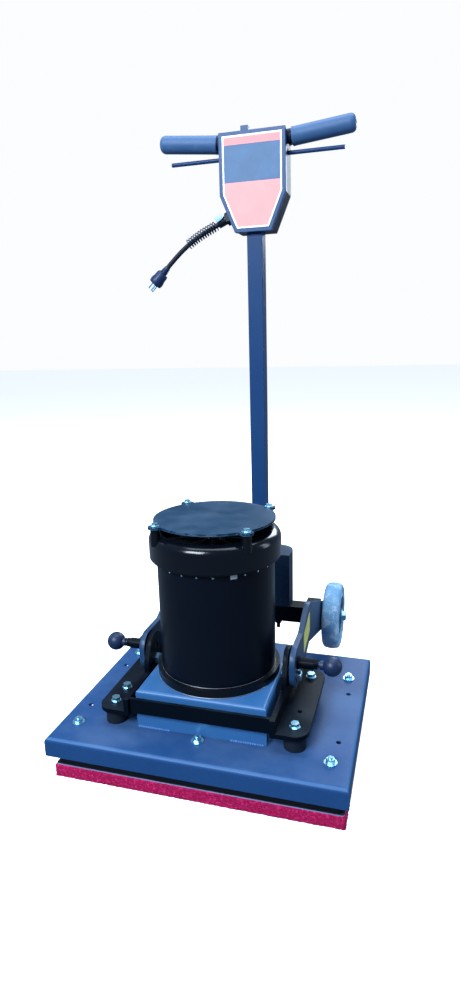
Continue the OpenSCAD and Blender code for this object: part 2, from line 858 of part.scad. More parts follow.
module handlebar() {
    color([0.1, 0.12, 0.16]) on_both_sides() along_bar() {
        cylinder(r = bar_radius, h = grip_start + grip_length - 4);
        translate([0, 0, grip_start - collar_width]) ring(bar_radius + 4, bar_radius - 1, collar_width - 1);
    }
}

module hand_grips() {
    body = grip_length - grip_round;
    color([0.25, 0.34, 0.46]) on_both_sides() along_bar() translate([0, 0, grip_start]) difference() {
        union() {
            cylinder(r = grip_radius, h = body);
            cylinder(r = grip_radius - grip_round, h = grip_length);
            translate([0, 0, body]) rotate_extrude() translate([grip_radius - grip_round, 0]) circle(grip_round);
        }
        translate([0, 0, -1]) cylinder(r = bar_radius, h = grip_length - 3);
    }
}

module main_switch() {
    color([0.08, 0.08, 0.09]) translate([-14, switch_y, trigger_z + 2 + switch_gap])
        cube([28, head_back - head_wall - switch_y, 24]);
}

module trigger_bar() {
    color([0.12, 0.16, 0.22]) {
        x_cylinder(-trigger_reach, trigger_reach, trigger_y, trigger_z, trigger_radius);
        translate([-8, trigger_y, trigger_z - 2]) cube([16, tab_back, 4]);
    }
}

module lock_button() {
    color([0.15, 0.2, 0.3]) translate([button_x, button_y, 0]) {
        translate([-button_width / 2, -button_depth / 2, head_top - 8])
            cube([button_width, button_depth, button_top - head_top + 8]);
        translate([-button_width / 2 - 2, -button_depth / 2 + 1, head_top - 8.6])
            cube([button_width + 4, button_depth - 2, 3]);
    }
}

module plunger() {
    x_cylinder(ear_out - pin_reach, ball_x - 8, motor_y, plunger_z, lock_radius);
    x_cylinder(collar_x, collar_x + 4, motor_y, plunger_z, housing_bore - 0.5);
    translate([ball_x, motor_y, plunger_z]) sphere(ball_radius);
    x_cylinder(ball_x - ball_radius - 3, ball_x - ball_radius + 4, motor_y, plunger_z, 8);
}

module left_plunger() { color([0.2, 0.3, 0.45]) mirror([1, 0, 0]) plunger(); }

module right_plunger() { color([0.2, 0.3, 0.45]) plunger(); }

// ---------- wheels ----------

module wheel_profile(inner, outer, width, turn) {
    translate([inner, turn]) square([outer - inner, width - 2 * turn]);
    translate([inner, 0]) square([outer - inner - turn, width]);
    for (y = [turn, width - turn]) translate([outer - turn, y]) circle(turn);
}

module at_wheel() { translate([wheel_in, axle_y, axle_height]) rotate([0, 90, 0]) children(); }

module tyre() { at_wheel() rotate_extrude() wheel_profile(hub_outer, wheel_radius, wheel_width, 8); }

module wheel_hub() {
    at_wheel() difference() {
        union() {
            translate([0, 0, 3]) cylinder(r = hub_outer, h = wheel_width - 6);
            cylinder(r = axle_radius + 9, h = wheel_width);
        }
        for (z = [-1, wheel_width - 9]) translate([0, 0, z]) ring(hub_outer - 5, axle_radius + 9, 10);
        translate([0, 0, -1]) cylinder(r = axle_radius + run_fit, h = wheel_width + 2);
    }
}

module left_wheel_hub() { color([0.35, 0.36, 0.38]) mirror([1, 0, 0]) wheel_hub(); }

module right_wheel_hub() { color([0.35, 0.36, 0.38]) wheel_hub(); }

module left_tyre() { color([0.6, 0.62, 0.64]) mirror([1, 0, 0]) tyre(); }

module right_tyre() { color([0.6, 0.62, 0.64]) tyre(); }

// ---------- cord ----------

// Frame of the gland on the box's slanted side, +Z pointing away from the box.
module at_gland() {
    translate([gland_foot.x, axle_y, gland_foot.y]) rotate([0, -90 - slant, 0]) children();
}

module cord_gland() {
    color([0.05, 0.05, 0.06]) at_gland() difference() {
        union() {
            translate([0, 0, -6]) cylinder(r = gland_bore + 3, h = 8);
            translate([0, 0, 1.5]) hex(24, 9);
            translate([0, 0, 10]) cylinder(r = 9, h = gland_length - 10);
        }
        translate([0, 0, -7]) cylinder(r = gland_bore, h = gland_length + 8);
    }
}

function route_point(i) = [cord_route[i].x, axle_y, cord_route[i].y];

function last(list) = list[len(list) - 1];

// Direction of a path of points at place i.
function heading(path, i) = let (
    step = path[min(i + 1, len(path) - 1)] - path[max(i - 1, 0)]
) step / norm(step);

// One ring of points round p, square to the direction d, for a path near the XZ plane.
function tube_ring(p, d, r, sides) = let (
    across = cross(d, [0, 1, 0]) / norm(cross(d, [0, 1, 0])),
    other = cross(across, d)
) [for (k = [0 : sides - 1]) p + r * (cos(k * 360 / sides) * across + sin(k * 360 / sides) * other)];

module tube(path, r, sides) {
    rings = len(path);
    points = [for (i = [0 : rings - 1]) each tube_ring(path[i], heading(path, i), r, sides)];
    walls = [
        for (i = [0 : rings - 2]) for (k = [0 : sides - 1])
            let (a = i * sides + k, b = i * sides + (k + 1) % sides)
            each [[a, b, b + sides], [a, b + sides, a + sides]]
    ];
    first_cap = [for (k = [sides - 1 : -1 : 0]) k];
    last_cap = [for (k = [0 : sides - 1]) (rings - 1) * sides + k];
    polyhedron(points, concat(walls, [first_cap, last_cap]));
}

module power_cord() {
    color([0.06, 0.06, 0.07])
        tube([for (i = [0 : len(cord_route) - 1]) route_point(i)], cord_diameter / 2, cord_sides);
}

// Point of the route at a fractional place t, counted in route points.
function along_route(t) = let (i = min(floor(t), len(cord_route) - 2))
    route_point(i) * (i + 1 - t) + route_point(i + 1) * (t - i);

// A point on the spring's wire; turn counts from 0 to spring_turns.
function spring_point(turn) = let (
    t = spring_first + (spring_last - spring_first) * turn / spring_turns,
    step = along_route(t + 0.5) - along_route(t - 0.4),
    d = step / norm(step),
    across = cross(d, [0, 1, 0])
) along_route(t) + (spring_radius - spring_wire) * (cos(turn * 360) * across + sin(turn * 360) * [0, 1, 0]);

// One ring of the spring's wire, square to the coil rather than to the cord.
function wire_ring(turn) = let (
    p = spring_point(turn),
    step = spring_point(turn + 0.01) - spring_point(turn - 0.01),
    d = step / norm(step),
    out = p - along_route(spring_first + (spring_last - spring_first) * turn / spring_turns),
    across = cross(d, out) / norm(cross(d, out)),
    other = cross(across, d)
) [for (k = [0 : 5]) p + spring_wire * (cos(k * 60) * across + sin(k * 60) * other)];

module cord_spring() {
    rings = spring_turns * spring_steps;
    points = [for (i = [0 : rings]) each wire_ring(i / spring_steps)];
    walls = [
        for (i = [0 : rings - 1]) for (k = [0 : 5])
            let (a = i * 6 + k, b = i * 6 + (k + 1) % 6)
            each [[a, b + 6, b], [a, a + 6, b + 6]]
    ];
    color([0.6, 0.6, 0.62]) polyhedron(points, concat(walls, [
        [for (k = [0 : 5]) k], [for (k = [5 : -1 : 0]) rings * 6 + k]
    ]));
}

module cord_plug() {
    from = last(cord_route);
    d = last(cord_route) - cord_route[len(cord_route) - 2];
    lean = atan2(d.x, d.y);
    color([0.08, 0.09, 0.11]) translate([from.x, axle_y, from.y]) rotate([0, lean, 0]) {
        cylinder(r = cord_diameter / 2 + 3, h = 12);
        translate([0, 0, 11]) cylinder(r = plug_radius, h = plug_length - 11);
        for (x = [-6, 6]) translate([x - 0.8, -3, plug_length - 1]) cube([1.6, 6, 19]);
        translate([0, 8, plug_length - 1]) cylinder(r = 2.4, h = 21);
    }
}

deck_cover();
deck_bolts();
pad_isolators();
motor_riser();
frame_isolators();
isolator_bolts();
side_brackets();
frame_bars();
lower_bell();
motor_bolts();
motor_shell();
stator_core();
stator_windings();
motor_bearings();
upper_bell();
fan_cowl();
cover_spacers();
cover_disc();
cover_bolts();
pivot_bolts();
motor_shaft();
rotor_core();
cooling_fan();
eccentric_hub();
counterweight();
orbit_bearing();
bearing_housing();
driver_bolts();
pad_driver();
hook_layer();
floor_pad();
left_arm();
right_arm();
crossbar();
axle_bolts();
plunger_housings();
handle_socket();
capacitor_box();
capacitor();
handle_tube();
control_box();
box_lid();
label_plate();
box_screws();
handlebar();
hand_grips();
main_switch();
cord_gland();
cord_spring();
power_cord();
cord_plug();
trigger_bar();
lock_button();
left_plunger();
right_plunger();
left_wheel_hub();
left_tyre();
right_wheel_hub();
right_tyre();
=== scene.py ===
"""Looks of the orbital floor machine: its finishes, and the detail that the frame leaves plain."""
import logging
import math
from dataclasses import dataclass
from enum import Enum
from typing import Iterable, Sequence

import bmesh
import bpy
from mathutils import Matrix, Vector, noise


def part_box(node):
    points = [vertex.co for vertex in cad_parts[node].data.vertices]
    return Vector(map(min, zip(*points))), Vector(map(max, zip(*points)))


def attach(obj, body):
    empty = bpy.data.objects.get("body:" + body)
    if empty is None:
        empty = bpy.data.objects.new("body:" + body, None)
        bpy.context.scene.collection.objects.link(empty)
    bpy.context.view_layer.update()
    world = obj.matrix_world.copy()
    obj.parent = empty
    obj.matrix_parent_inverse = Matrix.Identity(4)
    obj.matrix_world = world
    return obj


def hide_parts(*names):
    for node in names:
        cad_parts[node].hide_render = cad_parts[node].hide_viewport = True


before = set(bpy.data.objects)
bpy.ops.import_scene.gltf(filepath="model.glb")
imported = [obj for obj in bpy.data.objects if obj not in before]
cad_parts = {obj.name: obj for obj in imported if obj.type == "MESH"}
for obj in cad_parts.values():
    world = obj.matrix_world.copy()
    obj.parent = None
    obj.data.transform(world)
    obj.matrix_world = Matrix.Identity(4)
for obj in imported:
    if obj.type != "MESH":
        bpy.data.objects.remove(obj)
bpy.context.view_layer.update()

LOG = logging.getLogger("floor_machine")
Colour = tuple[float, float, float]
Point = tuple[float, float, float]

# The cord's route at the axle's y, as x and z in metres, as the frame holds it.
CORD_ROUTE = (
    (-0.080, 0.976), (-0.090, 0.9715), (-0.100, 0.967), (-0.110, 0.9625), (-0.120, 0.9575),
    (-0.130, 0.952), (-0.139, 0.9465), (-0.148, 0.9405), (-0.156, 0.9345), (-0.164, 0.9285),
    (-0.171, 0.9225), (-0.178, 0.9165), (-0.185, 0.910), (-0.192, 0.9035), (-0.199, 0.8965),
)
CORD_DIAMETER = 0.010


# ---------- shader building ----------

class Signal:
    """A shader socket that takes part in arithmetic, adding Math nodes as it goes."""

    def __init__(self, tree: "Tree", socket: bpy.types.NodeSocket) -> None:
        """Wraps one output socket.

        Args:
            tree: The node tree that owns the socket.
            socket: The output socket.
        """
        self.tree = tree
        self.socket = socket

    def _math(self, operation: str, first: "Signal | float", second: "Signal | float") -> "Signal":
        """Adds one Math node.

        Args:
            operation: The Math node's operation.
            first: The first value.
            second: The second value.

        Returns:
            The node's result.
        """
        return self.tree.add("ShaderNodeMath", {"operation": operation}, {0: first, 1: second})

    def __add__(self, other: "Signal | float") -> "Signal":
        """This plus other."""
        return self._math("ADD", self, other)

    def __radd__(self, other: float) -> "Signal":
        """Other plus this."""
        return self._math("ADD", other, self)

    def __sub__(self, other: "Signal | float") -> "Signal":
        """This minus other."""
        return self._math("SUBTRACT", self, other)

    def __rsub__(self, other: float) -> "Signal":
        """Other minus this."""
        return self._math("SUBTRACT", other, self)

    def __mul__(self, other: "Signal | float") -> "Signal":
        """This times other."""
        return self._math("MULTIPLY", self, other)

    def __rmul__(self, other: float) -> "Signal":
        """Other times this."""
        return self._math("MULTIPLY", other, self)

    def __gt__(self, other: "Signal | float") -> "Signal":
        """1 where this is above other, else 0."""
        return self._math("GREATER_THAN", self, other)


class Tree:
    """A material's node tree, with one method that adds any node."""

    def __init__(self, name: str) -> None:
        """Starts a material with a Principled shader.

        Args:
            name: The material's name.
        """
        self.material = bpy.data.materials.new(name)
        self.material.use_nodes = True
        self.nodes = self.material.node_tree.nodes
        self.links = self.material.node_tree.links
        self.shader = self.nodes["Principled BSDF"]

    def add(self, kind: str, settings: dict | None = None, inputs: dict | None = None,
            output: int | str = 0) -> Signal:
        """Adds a node.

        Args:
            kind: The node's type.
            settings: Attributes that are set before the inputs.
            inputs: Values or signals by socket name or number.
            output: The output that is wanted.

        Returns:
            That output as a signal.
        """
        node = self.nodes.new(kind)
        for key, value in (settings or {}).items():
            setattr(node, key, value)
        for key, value in (inputs or {}).items():
            self._plug(node.inputs[key], value)
        return Signal(self, node.outputs[output])

    def _plug(self, socket: bpy.types.NodeSocket, value: object) -> None:
        """Links or sets one input.

        Args:
            socket: The input.
            value: A signal, a number or a tuple.
        """
        if isinstance(value, Signal):
            self.links.new(value.socket, socket)
        elif isinstance(value, tuple) and socket.type == "RGBA":
            socket.default_value = (*value, 1.0)
        else:
            socket.default_value = value

    def dress(self, **inputs: object) -> None:
        """Sets the shader's inputs, with underscores for spaces in their names."""
        for key, value in inputs.items():
            self._plug(self.shader.inputs[key.replace("_", " ")], value)

    def place(self) -> Signal:
        """Object coordinates."""
        return self.add("ShaderNodeTexCoord", output="Object")

    def axis(self, which: str, of: Signal | None = None) -> Signal:
        """One component, "X", "Y" or "Z", of a vector, or of Object coordinates."""
        return self.add("ShaderNodeSeparateXYZ", inputs={0: of or self.place()}, output=which)

    def grain(self, scale: float, detail: float = 4.0, rough: float = 0.55,
              stretch: Point = (1.0, 1.0, 1.0)) -> Signal:
        """Noise from 0 to 1.

        Args:
            scale: Repeats per metre.
            detail: Octaves.
            rough: How strong the fine octaves are.
            stretch: Scale along each axis.

        Returns:
            The noise's value.
        """
        spot = self.add("ShaderNodeMapping", inputs={"Vector": self.place(), "Scale": stretch})
        return self.add("ShaderNodeTexNoise", {}, {
            "Vector": spot, "Scale": scale, "Detail": detail, "Roughness": rough})

    def cells(self, scale: float) -> Signal:
        """Distance to the nearest point of a cell pattern with this many cells a metre."""
        return self.add("ShaderNodeTexVoronoi", {}, {"Vector": self.place(), "Scale": scale})

    def ramp(self, value: Signal, low: float, high: float) -> Signal:
        """0 below low and 1 above high, with a smooth step between."""
        return self.add("ShaderNodeMapRange", {"interpolation_type": "SMOOTHSTEP"}, {
            "Value": value, "From Min": low, "From Max": high})

    def blend(self, amount: Signal | float, first: object, second: object) -> Signal:
        """Mixes two colours.

        Args:
            amount: 0 for the first, 1 for the second.
            first: A colour or a signal.
            second: A colour or a signal.

        Returns:
            The mixed colour.
        """
        return self.add("ShaderNodeMix", {"data_type": "RGBA"}, {0: amount, 6: first, 7: second}, 2)

    def bump(self, height: Signal, depth: float, strength: float = 0.5) -> Signal:
        """A normal from a height signal, with depth in metres."""
        return self.add("ShaderNodeBump", {}, {
            "Height": height, "Distance": depth, "Strength": strength})

    def upward(self) -> Signal:
        """How far the surface faces up, from -1 to 1."""
        geometry = self.add("ShaderNodeNewGeometry", output="Normal")
        return self.axis("Z", geometry)


def shade(colour: Colour, factor: float) -> Colour:
    """A colour made lighter or darker by a factor."""
    return tuple(min(1.0, part * factor) for part in colour)


# ---------- finishes ----------

@dataclass(frozen=True)
class Finish:
    """A named finish; each kind paints in its own way."""

    name: str

    def build(self) -> bpy.types.Material:
        """Makes the material."""
        tree = Tree(self.name)
        self.paint(tree)
        return tree.material

    def paint(self, tree: Tree) -> None:
        """Gives the tree its nodes."""
        raise NotImplementedError


@dataclass(frozen=True)
class PaintedSteel(Finish):
    """Sprayed paint on steel, with orange peel, faint dust on what faces up, dull patches, and a painted
    highlight on bends.
    """

    colour: Colour
    roughness: float = 0.35
    coat: float = 0.25
    dust: float = 0.12
    dust_colour: Colour = (0.30, 0.40, 0.55)
    peel: float = 0.10
    gloss: float = 0.25
    bend_highlight: float = 0.0
    bend_highlight_colour: Colour = (0.09, 0.27, 0.55)

    def paint(self, tree: Tree) -> None:
        """Gives the tree its nodes."""
        patches = tree.grain(9.0, 5.0)
        speck = tree.ramp(tree.grain(420.0, 2.0), 0.62, 0.72)
        settled = tree.ramp(tree.upward(), 0.4, 1.0) * tree.ramp(patches, 0.35, 0.75) * self.dust
        base = tree.blend(patches, shade(self.colour, 0.88), shade(self.colour, 1.12))
        # Painted highlight: faces that lean between up and upright, on the rounded bends, take a paler
        # colour.
        if self.bend_highlight:
            rise = tree.upward()
            bend_highlight_mask = tree.ramp(rise, 0.45, 0.65) * (1 - tree.ramp(rise, 0.88, 0.98))
            base = tree.blend(bend_highlight_mask * self.bend_highlight, base, self.bend_highlight_colour)
        tree.dress(
            Base_Color=tree.blend(settled + speck * (self.dust * 0.35), base, self.dust_colour),
            Roughness=self.roughness + (patches - 0.5) * 0.18 + settled * 0.5,
            Specular_IOR_Level=self.gloss,
            Coat_Weight=self.coat,
            Coat_Roughness=0.2,
            Normal=tree.bump(tree.grain(650.0, 2.0), 0.00025, self.peel),
        )


@dataclass(frozen=True)
class PlatedSteel(Finish):
    """Bright plating with a faint passivation tint and fine scratches."""

    colour: Colour = (0.42, 0.68, 0.82)
    tint: Colour = (0.30, 0.56, 0.72)
    roughness: float = 0.28

    def paint(self, tree: Tree) -> None:
        """Gives the tree its nodes."""
        mottle = tree.grain(160.0, 4.0)
        scratch = tree.grain(900.0, 2.0, stretch=(1.0, 0.12, 1.0))
        tree.dress(
            Base_Color=tree.blend(mottle, self.tint, self.colour),
            Metallic=1.0,
            Roughness=self.roughness + (mottle - 0.5) * 0.2 + scratch * 0.12,
            Normal=tree.bump(scratch, 0.0002, 0.2),
        )


@dataclass(frozen=True)
class Moulded(Finish):
    """Moulded plastic or rubber: pebbled, with a pale bloom and a little colour variation."""

    colour: Colour
    roughness: float = 0.5
    pebble: float = 0.25
    pebble_scale: float = 900.0
    coat: float = 0.0
    bloom: float = 0.0
    bloom_colour: Colour = (0.45, 0.55, 0.68)
    gloss: float = 0.3

    def paint(self, tree: Tree) -> None:
        """Gives the tree its nodes."""
        cloud = tree.grain(24.0, 4.0)
        pebbles = tree.cells(self.pebble_scale)
        base = tree.blend(cloud, shade(self.colour, 0.85), shade(self.colour, 1.15))
        tree.dress(
            Base_Color=tree.blend(tree.ramp(cloud, 0.5, 0.8) * self.bloom, base, self.bloom_colour),
            Roughness=self.roughness + (cloud - 0.5) * 0.15,
            Specular_IOR_Level=self.gloss,
            Coat_Weight=self.coat,
            Normal=tree.bump(pebbles, 0.0003, self.pebble),
        )


@dataclass(frozen=True)
class ScuffedRubber(Finish):
    """Grey wheel rubber with pale scuffs, dull blotches and fine scratches round the tread."""

    colour: Colour
    pale: Colour
    deep: Colour

    def paint(self, tree: Tree) -> None:
        """Gives the tree its nodes."""
        blotch = tree.grain(16.0, 5.0, 0.6)
        scuff = tree.ramp(tree.grain(26.0, 7.0, 0.65), 0.50, 0.62)
        scratch = tree.ramp(tree.grain(90.0, 4.0, 0.6, (0.6, 2.0, 2.0)), 0.60, 0.68)
        base = tree.blend(tree.ramp(blotch, 0.35, 0.60), self.deep, self.colour)
        base = tree.blend(scuff * 0.75, base, self.pale)
        tree.dress(
            Base_Color=tree.blend(scratch * 0.4, base, shade(self.deep, 0.8)),
            Roughness=0.55 + (blotch - 0.5) * 0.3,
            Specular_IOR_Level=0.3,
            Normal=tree.bump(scuff * 0.5 + blotch, 0.0006, 0.4),
        )


@dataclass(frozen=True)
class FibrePad(Finish):
    """Open nylon fibre: tangled strands with painted shade between them, and paler tufts."""

    colour: Colour
    light: Colour
    deep: Colour

    def paint(self, tree: Tree) -> None:
        """Gives the tree its nodes."""
        strands = tree.grain(330.0, 6.0, 0.75, (1.0, 1.0, 1.9))
        tangle = tree.add("ShaderNodeTexVoronoi", {"feature": "DISTANCE_TO_EDGE"}, {
            "Vector": tree.place(), "Scale": 420.0})
        knots = tree.ramp(tangle, 0.02, 0.22)
        tufts = tree.grain(170.0, 2.0)
        # The deep colour between the strands is painted shade in the fibre's gaps.
        strands_with_painted_shade = tree.blend(tree.ramp(strands, 0.40, 0.62), self.deep, self.colour)
        tree.dress(
            Base_Color=tree.blend(tree.ramp(tufts, 0.48, 0.66) * (1 - knots), strands_with_painted_shade, self.light),
            Roughness=0.72 + (strands - 0.5) * 0.4,
            Specular_IOR_Level=0.1,
            Normal=tree.bump(strands + knots * 0.8, 0.0018, 0.9),
        )


@dataclass(frozen=True)
class HookSheet(Finish):
    """Short stiff dark hooks in rows on top, with a painted highlight in a pale colour on the sheet's side
    faces.
    """

    colour: Colour
    edge: Colour

    def paint(self, tree: Tree) -> None:
        """Gives the tree its nodes."""
        hooks = tree.cells(700.0)
        # Painted highlight: side faces take the pale edge colour; faces turned up keep the hooks' own dark
        # colour.
        facing = tree.ramp(tree.upward(), 0.3, 0.7)
        pile = tree.blend(hooks, self.colour, shade(self.colour, 0.5))
        tree.dress(
            Base_Color=tree.blend(facing, self.edge, pile),
            Roughness=0.7,
            Normal=tree.bump(1 - hooks, 0.001, 0.8),
        )


@dataclass(frozen=True)
class Laminations(Finish):
    """A stack of thin steel sheets, seen as fine level lines."""

    colour: Colour
    rust: Colour = (0.20, 0.13, 0.10)
    pitch: float = 0.0016

    def paint(self, tree: Tree) -> None:
        """Gives the tree its nodes."""
        height = tree.axis("Z") * (2 * math.pi / self.pitch)
        line = tree.add("ShaderNodeMath", {"operation": "SINE"}, {0: height})
        rust = tree.ramp(tree.grain(60.0, 6.0), 0.55, 0.8)
        tree.dress(
            Base_Color=tree.blend(rust * 0.5, self.colour, self.rust),
            Metallic=0.8,
            Roughness=0.45 + rust * 0.3,
            Normal=tree.bump(line, 0.0002, 0.6),
        )


@dataclass(frozen=True)
class WoundWire(Finish):
    """Varnished winding wire laid round the motor's axis."""

    colour: Colour
    turns: float = 4200.0

    def paint(self, tree: Tree) -> None:
        """Gives the tree its nodes."""
        turns = tree.add("ShaderNodeMath", {"operation": "SINE"}, {0: tree.axis("Z") * self.turns})
        varnish = tree.grain(90.0, 4.0)
        tree.dress(
            Base_Color=tree.blend(varnish, self.colour, shade(self.colour, 0.45)),
            Metallic=0.7,
            Roughness=0.3 + varnish * 0.2,
            Coat_Weight=0.6,
            Normal=tree.bump(turns, 0.0004, 0.8),
        )


@dataclass(frozen=True)
class BandedFilm(Finish):
    """Printed film in plain bands: a narrow strip, a dark field and a lower field."""

    strip: Colour
    field: Colour
    lower: Colour
    strip_edge: float
    field_edge: float

    def paint(self, tree: Tree) -> None:
        """Gives the tree its nodes."""
        height = tree.axis("Z")
        fade = tree.ramp(tree.grain(30.0, 4.0), 0.3, 0.8)
        field = tree.blend(fade, self.field, shade(self.field, 1.25))
        lower = tree.blend(fade, self.lower, shade(self.lower, 1.12))
        base = tree.blend(height > self.field_edge, lower, field)
        base = tree.blend(height > self.strip_edge, base, self.strip)
        tree.dress(
            Base_Color=base,
            Roughness=0.5 + fade * 0.12,
            Specular_IOR_Level=0.15,
            Normal=tree.bump(tree.grain(800.0, 2.0), 0.0001, 0.1),
        )


@dataclass(frozen=True)
class PalePlain(Finish):
    """The studio floor."""

    colour: Colour
    glow: float

    def paint(self, tree: Tree) -> None:
        """Gives the tree its nodes."""
        cloud = tree.grain(3.0, 3.0)
        tree.dress(Base_Color=tree.blend(cloud, self.colour, shade(self.colour, 0.99)), Roughness=0.75,
                   Emission_Color=self.colour, Emission_Strength=self.glow)


FINISHES = {
    # The deck's bends carry a painted highlight.
    "deck": PaintedSteel("deck_paint", (0.011, 0.049, 0.150), 0.45, 0.02, 0.10, gloss=0.13, bend_highlight=0.20),
    "riser": PaintedSteel("riser_paint", (0.025, 0.106, 0.265), 0.38, 0.08, 0.08),
    "frame": PaintedSteel("frame_paint", (0.0008, 0.0026, 0.0060), 0.42, 0.0, 0.03, gloss=0.06),
    "shell": PaintedSteel("shell_paint", (0.0018, 0.0032, 0.0075), 0.30, 0.0, 0.01, peel=0.05, gloss=0.12),
    "bell": PaintedSteel("bell_paint", (0.002, 0.003, 0.005), 0.28, 0.05, 0.01, gloss=0.2),
    "cowl": PaintedSteel("cowl_paint", (0.0008, 0.0018, 0.0045), 0.15, 0.16, 0.01, peel=0.05, gloss=0.25),
    "cover": PaintedSteel("cover_paint", (0.003, 0.025, 0.058), 0.45, 0.0, 0.10, gloss=0.12),
    "arm": PaintedSteel("arm_paint", (0.012, 0.040, 0.100), 0.42, 0.03, 0.08),
    "tube": PaintedSteel("tube_paint", (0.008, 0.040, 0.125), 0.40, 0.02, 0.04, gloss=0.15),
    "rear_box": PaintedSteel("rear_box_paint", (0.008, 0.022, 0.050), 0.50, 0.02, 0.30,
                             peel=0.5, gloss=0.12),
    "weld": PaintedSteel("weld_paint", (0.050, 0.150, 0.380), 0.42, 0.1, 0.2, peel=0.8),
    "zinc": PlatedSteel("zinc_plating"),
    "ground": PlatedSteel("ground_steel", (0.55, 0.58, 0.62), (0.42, 0.45, 0.50), 0.28),
    "spring": PlatedSteel("spring_wire", (0.060, 0.080, 0.120), (0.025, 0.035, 0.060), 0.38),
    "housing": PlatedSteel("cast_housing", (0.25, 0.27, 0.30), (0.14, 0.15, 0.18), 0.5),
    "isolator": Moulded("isolator_rubber", (0.006, 0.010, 0.018), 0.62, 0.3, gloss=0.2),
    "driver": Moulded("driver_board", (0.003, 0.004, 0.007), 0.55, 0.3, gloss=0.15),
    "fan": Moulded("fan_plastic", (0.02, 0.03, 0.04), 0.5),
    "head": Moulded("head_plastic", (0.008, 0.050, 0.150), 0.45, 0.25, 1400.0),
    "head_back": Moulded("head_back_plastic", (0.003, 0.007, 0.020), 0.48, 0.3, 1400.0, gloss=0.12),
    "grip": Moulded("grip_rubber", (0.037, 0.097, 0.220), 0.50, 0.35, 1500.0, bloom=0.05),
    "ball": Moulded("ball_plastic", (0.007, 0.018, 0.055), 0.42, 0.05, 600.0),
    "cord": Moulded("cord_jacket", (0.006, 0.010, 0.022), 0.45, 0.3, 1200.0, gloss=0.2),
    "gland": Moulded("gland_nylon", (0.004, 0.006, 0.012), 0.4, 0.2, gloss=0.2),
    "plug": Moulded("plug_rubber", (0.005, 0.020, 0.070), 0.42, 0.3, 1200.0),
    "hub": Moulded("wheel_hub", (0.10, 0.18, 0.30), 0.45, 0.25),
    "tyre": ScuffedRubber("wheel_rubber", (0.270, 0.520, 0.760), (0.66, 0.84, 0.95), (0.130, 0.310, 0.550)),
    "trim": Moulded("white_trim", (0.80, 0.90, 0.96), 0.4, 0.1),
    "clip": Moulded("clip_film", (0.32, 0.52, 0.75), 0.35, 0.1),
    "sticker": Moulded("yellow_film", (0.74, 0.74, 0.15), 0.4, 0.1, 900.0, 0.1),
    "border": Moulded("label_border", (0.90, 0.95, 0.98), 0.35, 0.05, 900.0, 0.1),
    "can": PlatedSteel("capacitor_can", (0.75, 0.76, 0.78), (0.62, 0.64, 0.66), 0.3),
    # The pad's third colour is painted shade between its strands.
    "pad": FibrePad("pad_fibre", (0.690, 0.016, 0.125), (0.900, 0.042, 0.260), (0.330, 0.006, 0.060)),
    # The hook sheet's second colour is a painted highlight on its side faces.
    "hooks": HookSheet("hook_backing", (0.004, 0.006, 0.012), (0.200, 0.240, 0.440)),
    "core": Laminations("core_steel", (0.40, 0.41, 0.43)),
    "copper": WoundWire("copper_wire", (0.55, 0.24, 0.11)),
    "floor": PalePlain("studio_floor", (0.93, 0.94, 0.95), 0.75),
}

NODE_FINISH = {
    "deck_cover": "deck", "motor_riser": "riser", "deck_bolts": "zinc", "isolator_bolts": "zinc",
    "motor_bolts": "zinc", "cover_bolts": "zinc", "pivot_bolts": "zinc", "driver_bolts": "zinc",
    "axle_bolts": "zinc", "box_screws": "zinc", "pad_isolators": "isolator", "frame_isolators": "isolator",
    "side_brackets": "frame", "frame_bars": "frame", "crossbar": "frame", "handle_socket": "frame",
    "lower_bell": "bell", "upper_bell": "bell", "motor_shell": "shell", "fan_cowl": "cowl",
    "cover_spacers": "bell", "cover_disc": "cover", "stator_core": "core", "rotor_core": "core",
    "stator_windings": "copper", "motor_bearings": "ground", "orbit_bearing": "ground",
    "motor_shaft": "ground", "eccentric_hub": "ground", "counterweight": "housing",
    "bearing_housing": "housing", "cooling_fan": "fan", "pad_driver": "driver", "hook_layer": "hooks",
    "floor_pad": "pad", "left_arm": "arm", "right_arm": "arm", "plunger_housings": "frame",
    "capacitor_box": "rear_box", "capacitor": "can", "handle_tube": "tube", "handlebar": "head_back",
    "trigger_bar": "tube", "control_box": "head_back", "box_lid": "head", "label_plate": "border",
    "main_switch": "driver", "lock_button": "head", "hand_grips": "grip", "cord_gland": "gland",
    "cord_spring": "spring", "power_cord": "cord", "cord_plug": "plug", "left_plunger": "ball",
    "right_plunger": "ball", "left_wheel_hub": "hub", "right_wheel_hub": "hub",
    "left_tyre": "tyre", "right_tyre": "tyre",
}


class Paintbox:
    """Makes each finish once and hands it out."""

    def __init__(self) -> None:
        """Starts empty."""
        self.made: dict[str, bpy.types.Material] = {}

    def get(self, name: str) -> bpy.types.Material:
        """The material of a finish, made at its first use."""
        if name not in self.made:
            self.made[name] = FINISHES[name].build()
        return self.made[name]

    def add(self, name: str, finish: Finish) -> bpy.types.Material:
        """Keeps one more finish and returns its material."""
        self.made[name] = finish.build()
        return self.made[name]


PAINTS = Paintbox()


# ---------- mesh helpers ----------

class Side(Enum):
    """The machine's two sides, as the sign of X."""

    LEFT = -1
    RIGHT = 1


def linked(name: str, data: bpy.types.ID) -> bpy.types.Object:
    """A new object with this data, in the scene."""
    made = bpy.data.objects.new(name, data)
    bpy.context.scene.collection.objects.link(made)
    return made


def ease(mesh: bmesh.types.BMesh, edges: Iterable[bmesh.types.BMEdge], width: float) -> None:
    """Rounds some of a mesh's edges to a width."""
    bmesh.ops.bevel(mesh, geom=list(edges), offset=width, segments=2, profile=0.5,
                    affect="EDGES", material=-1)


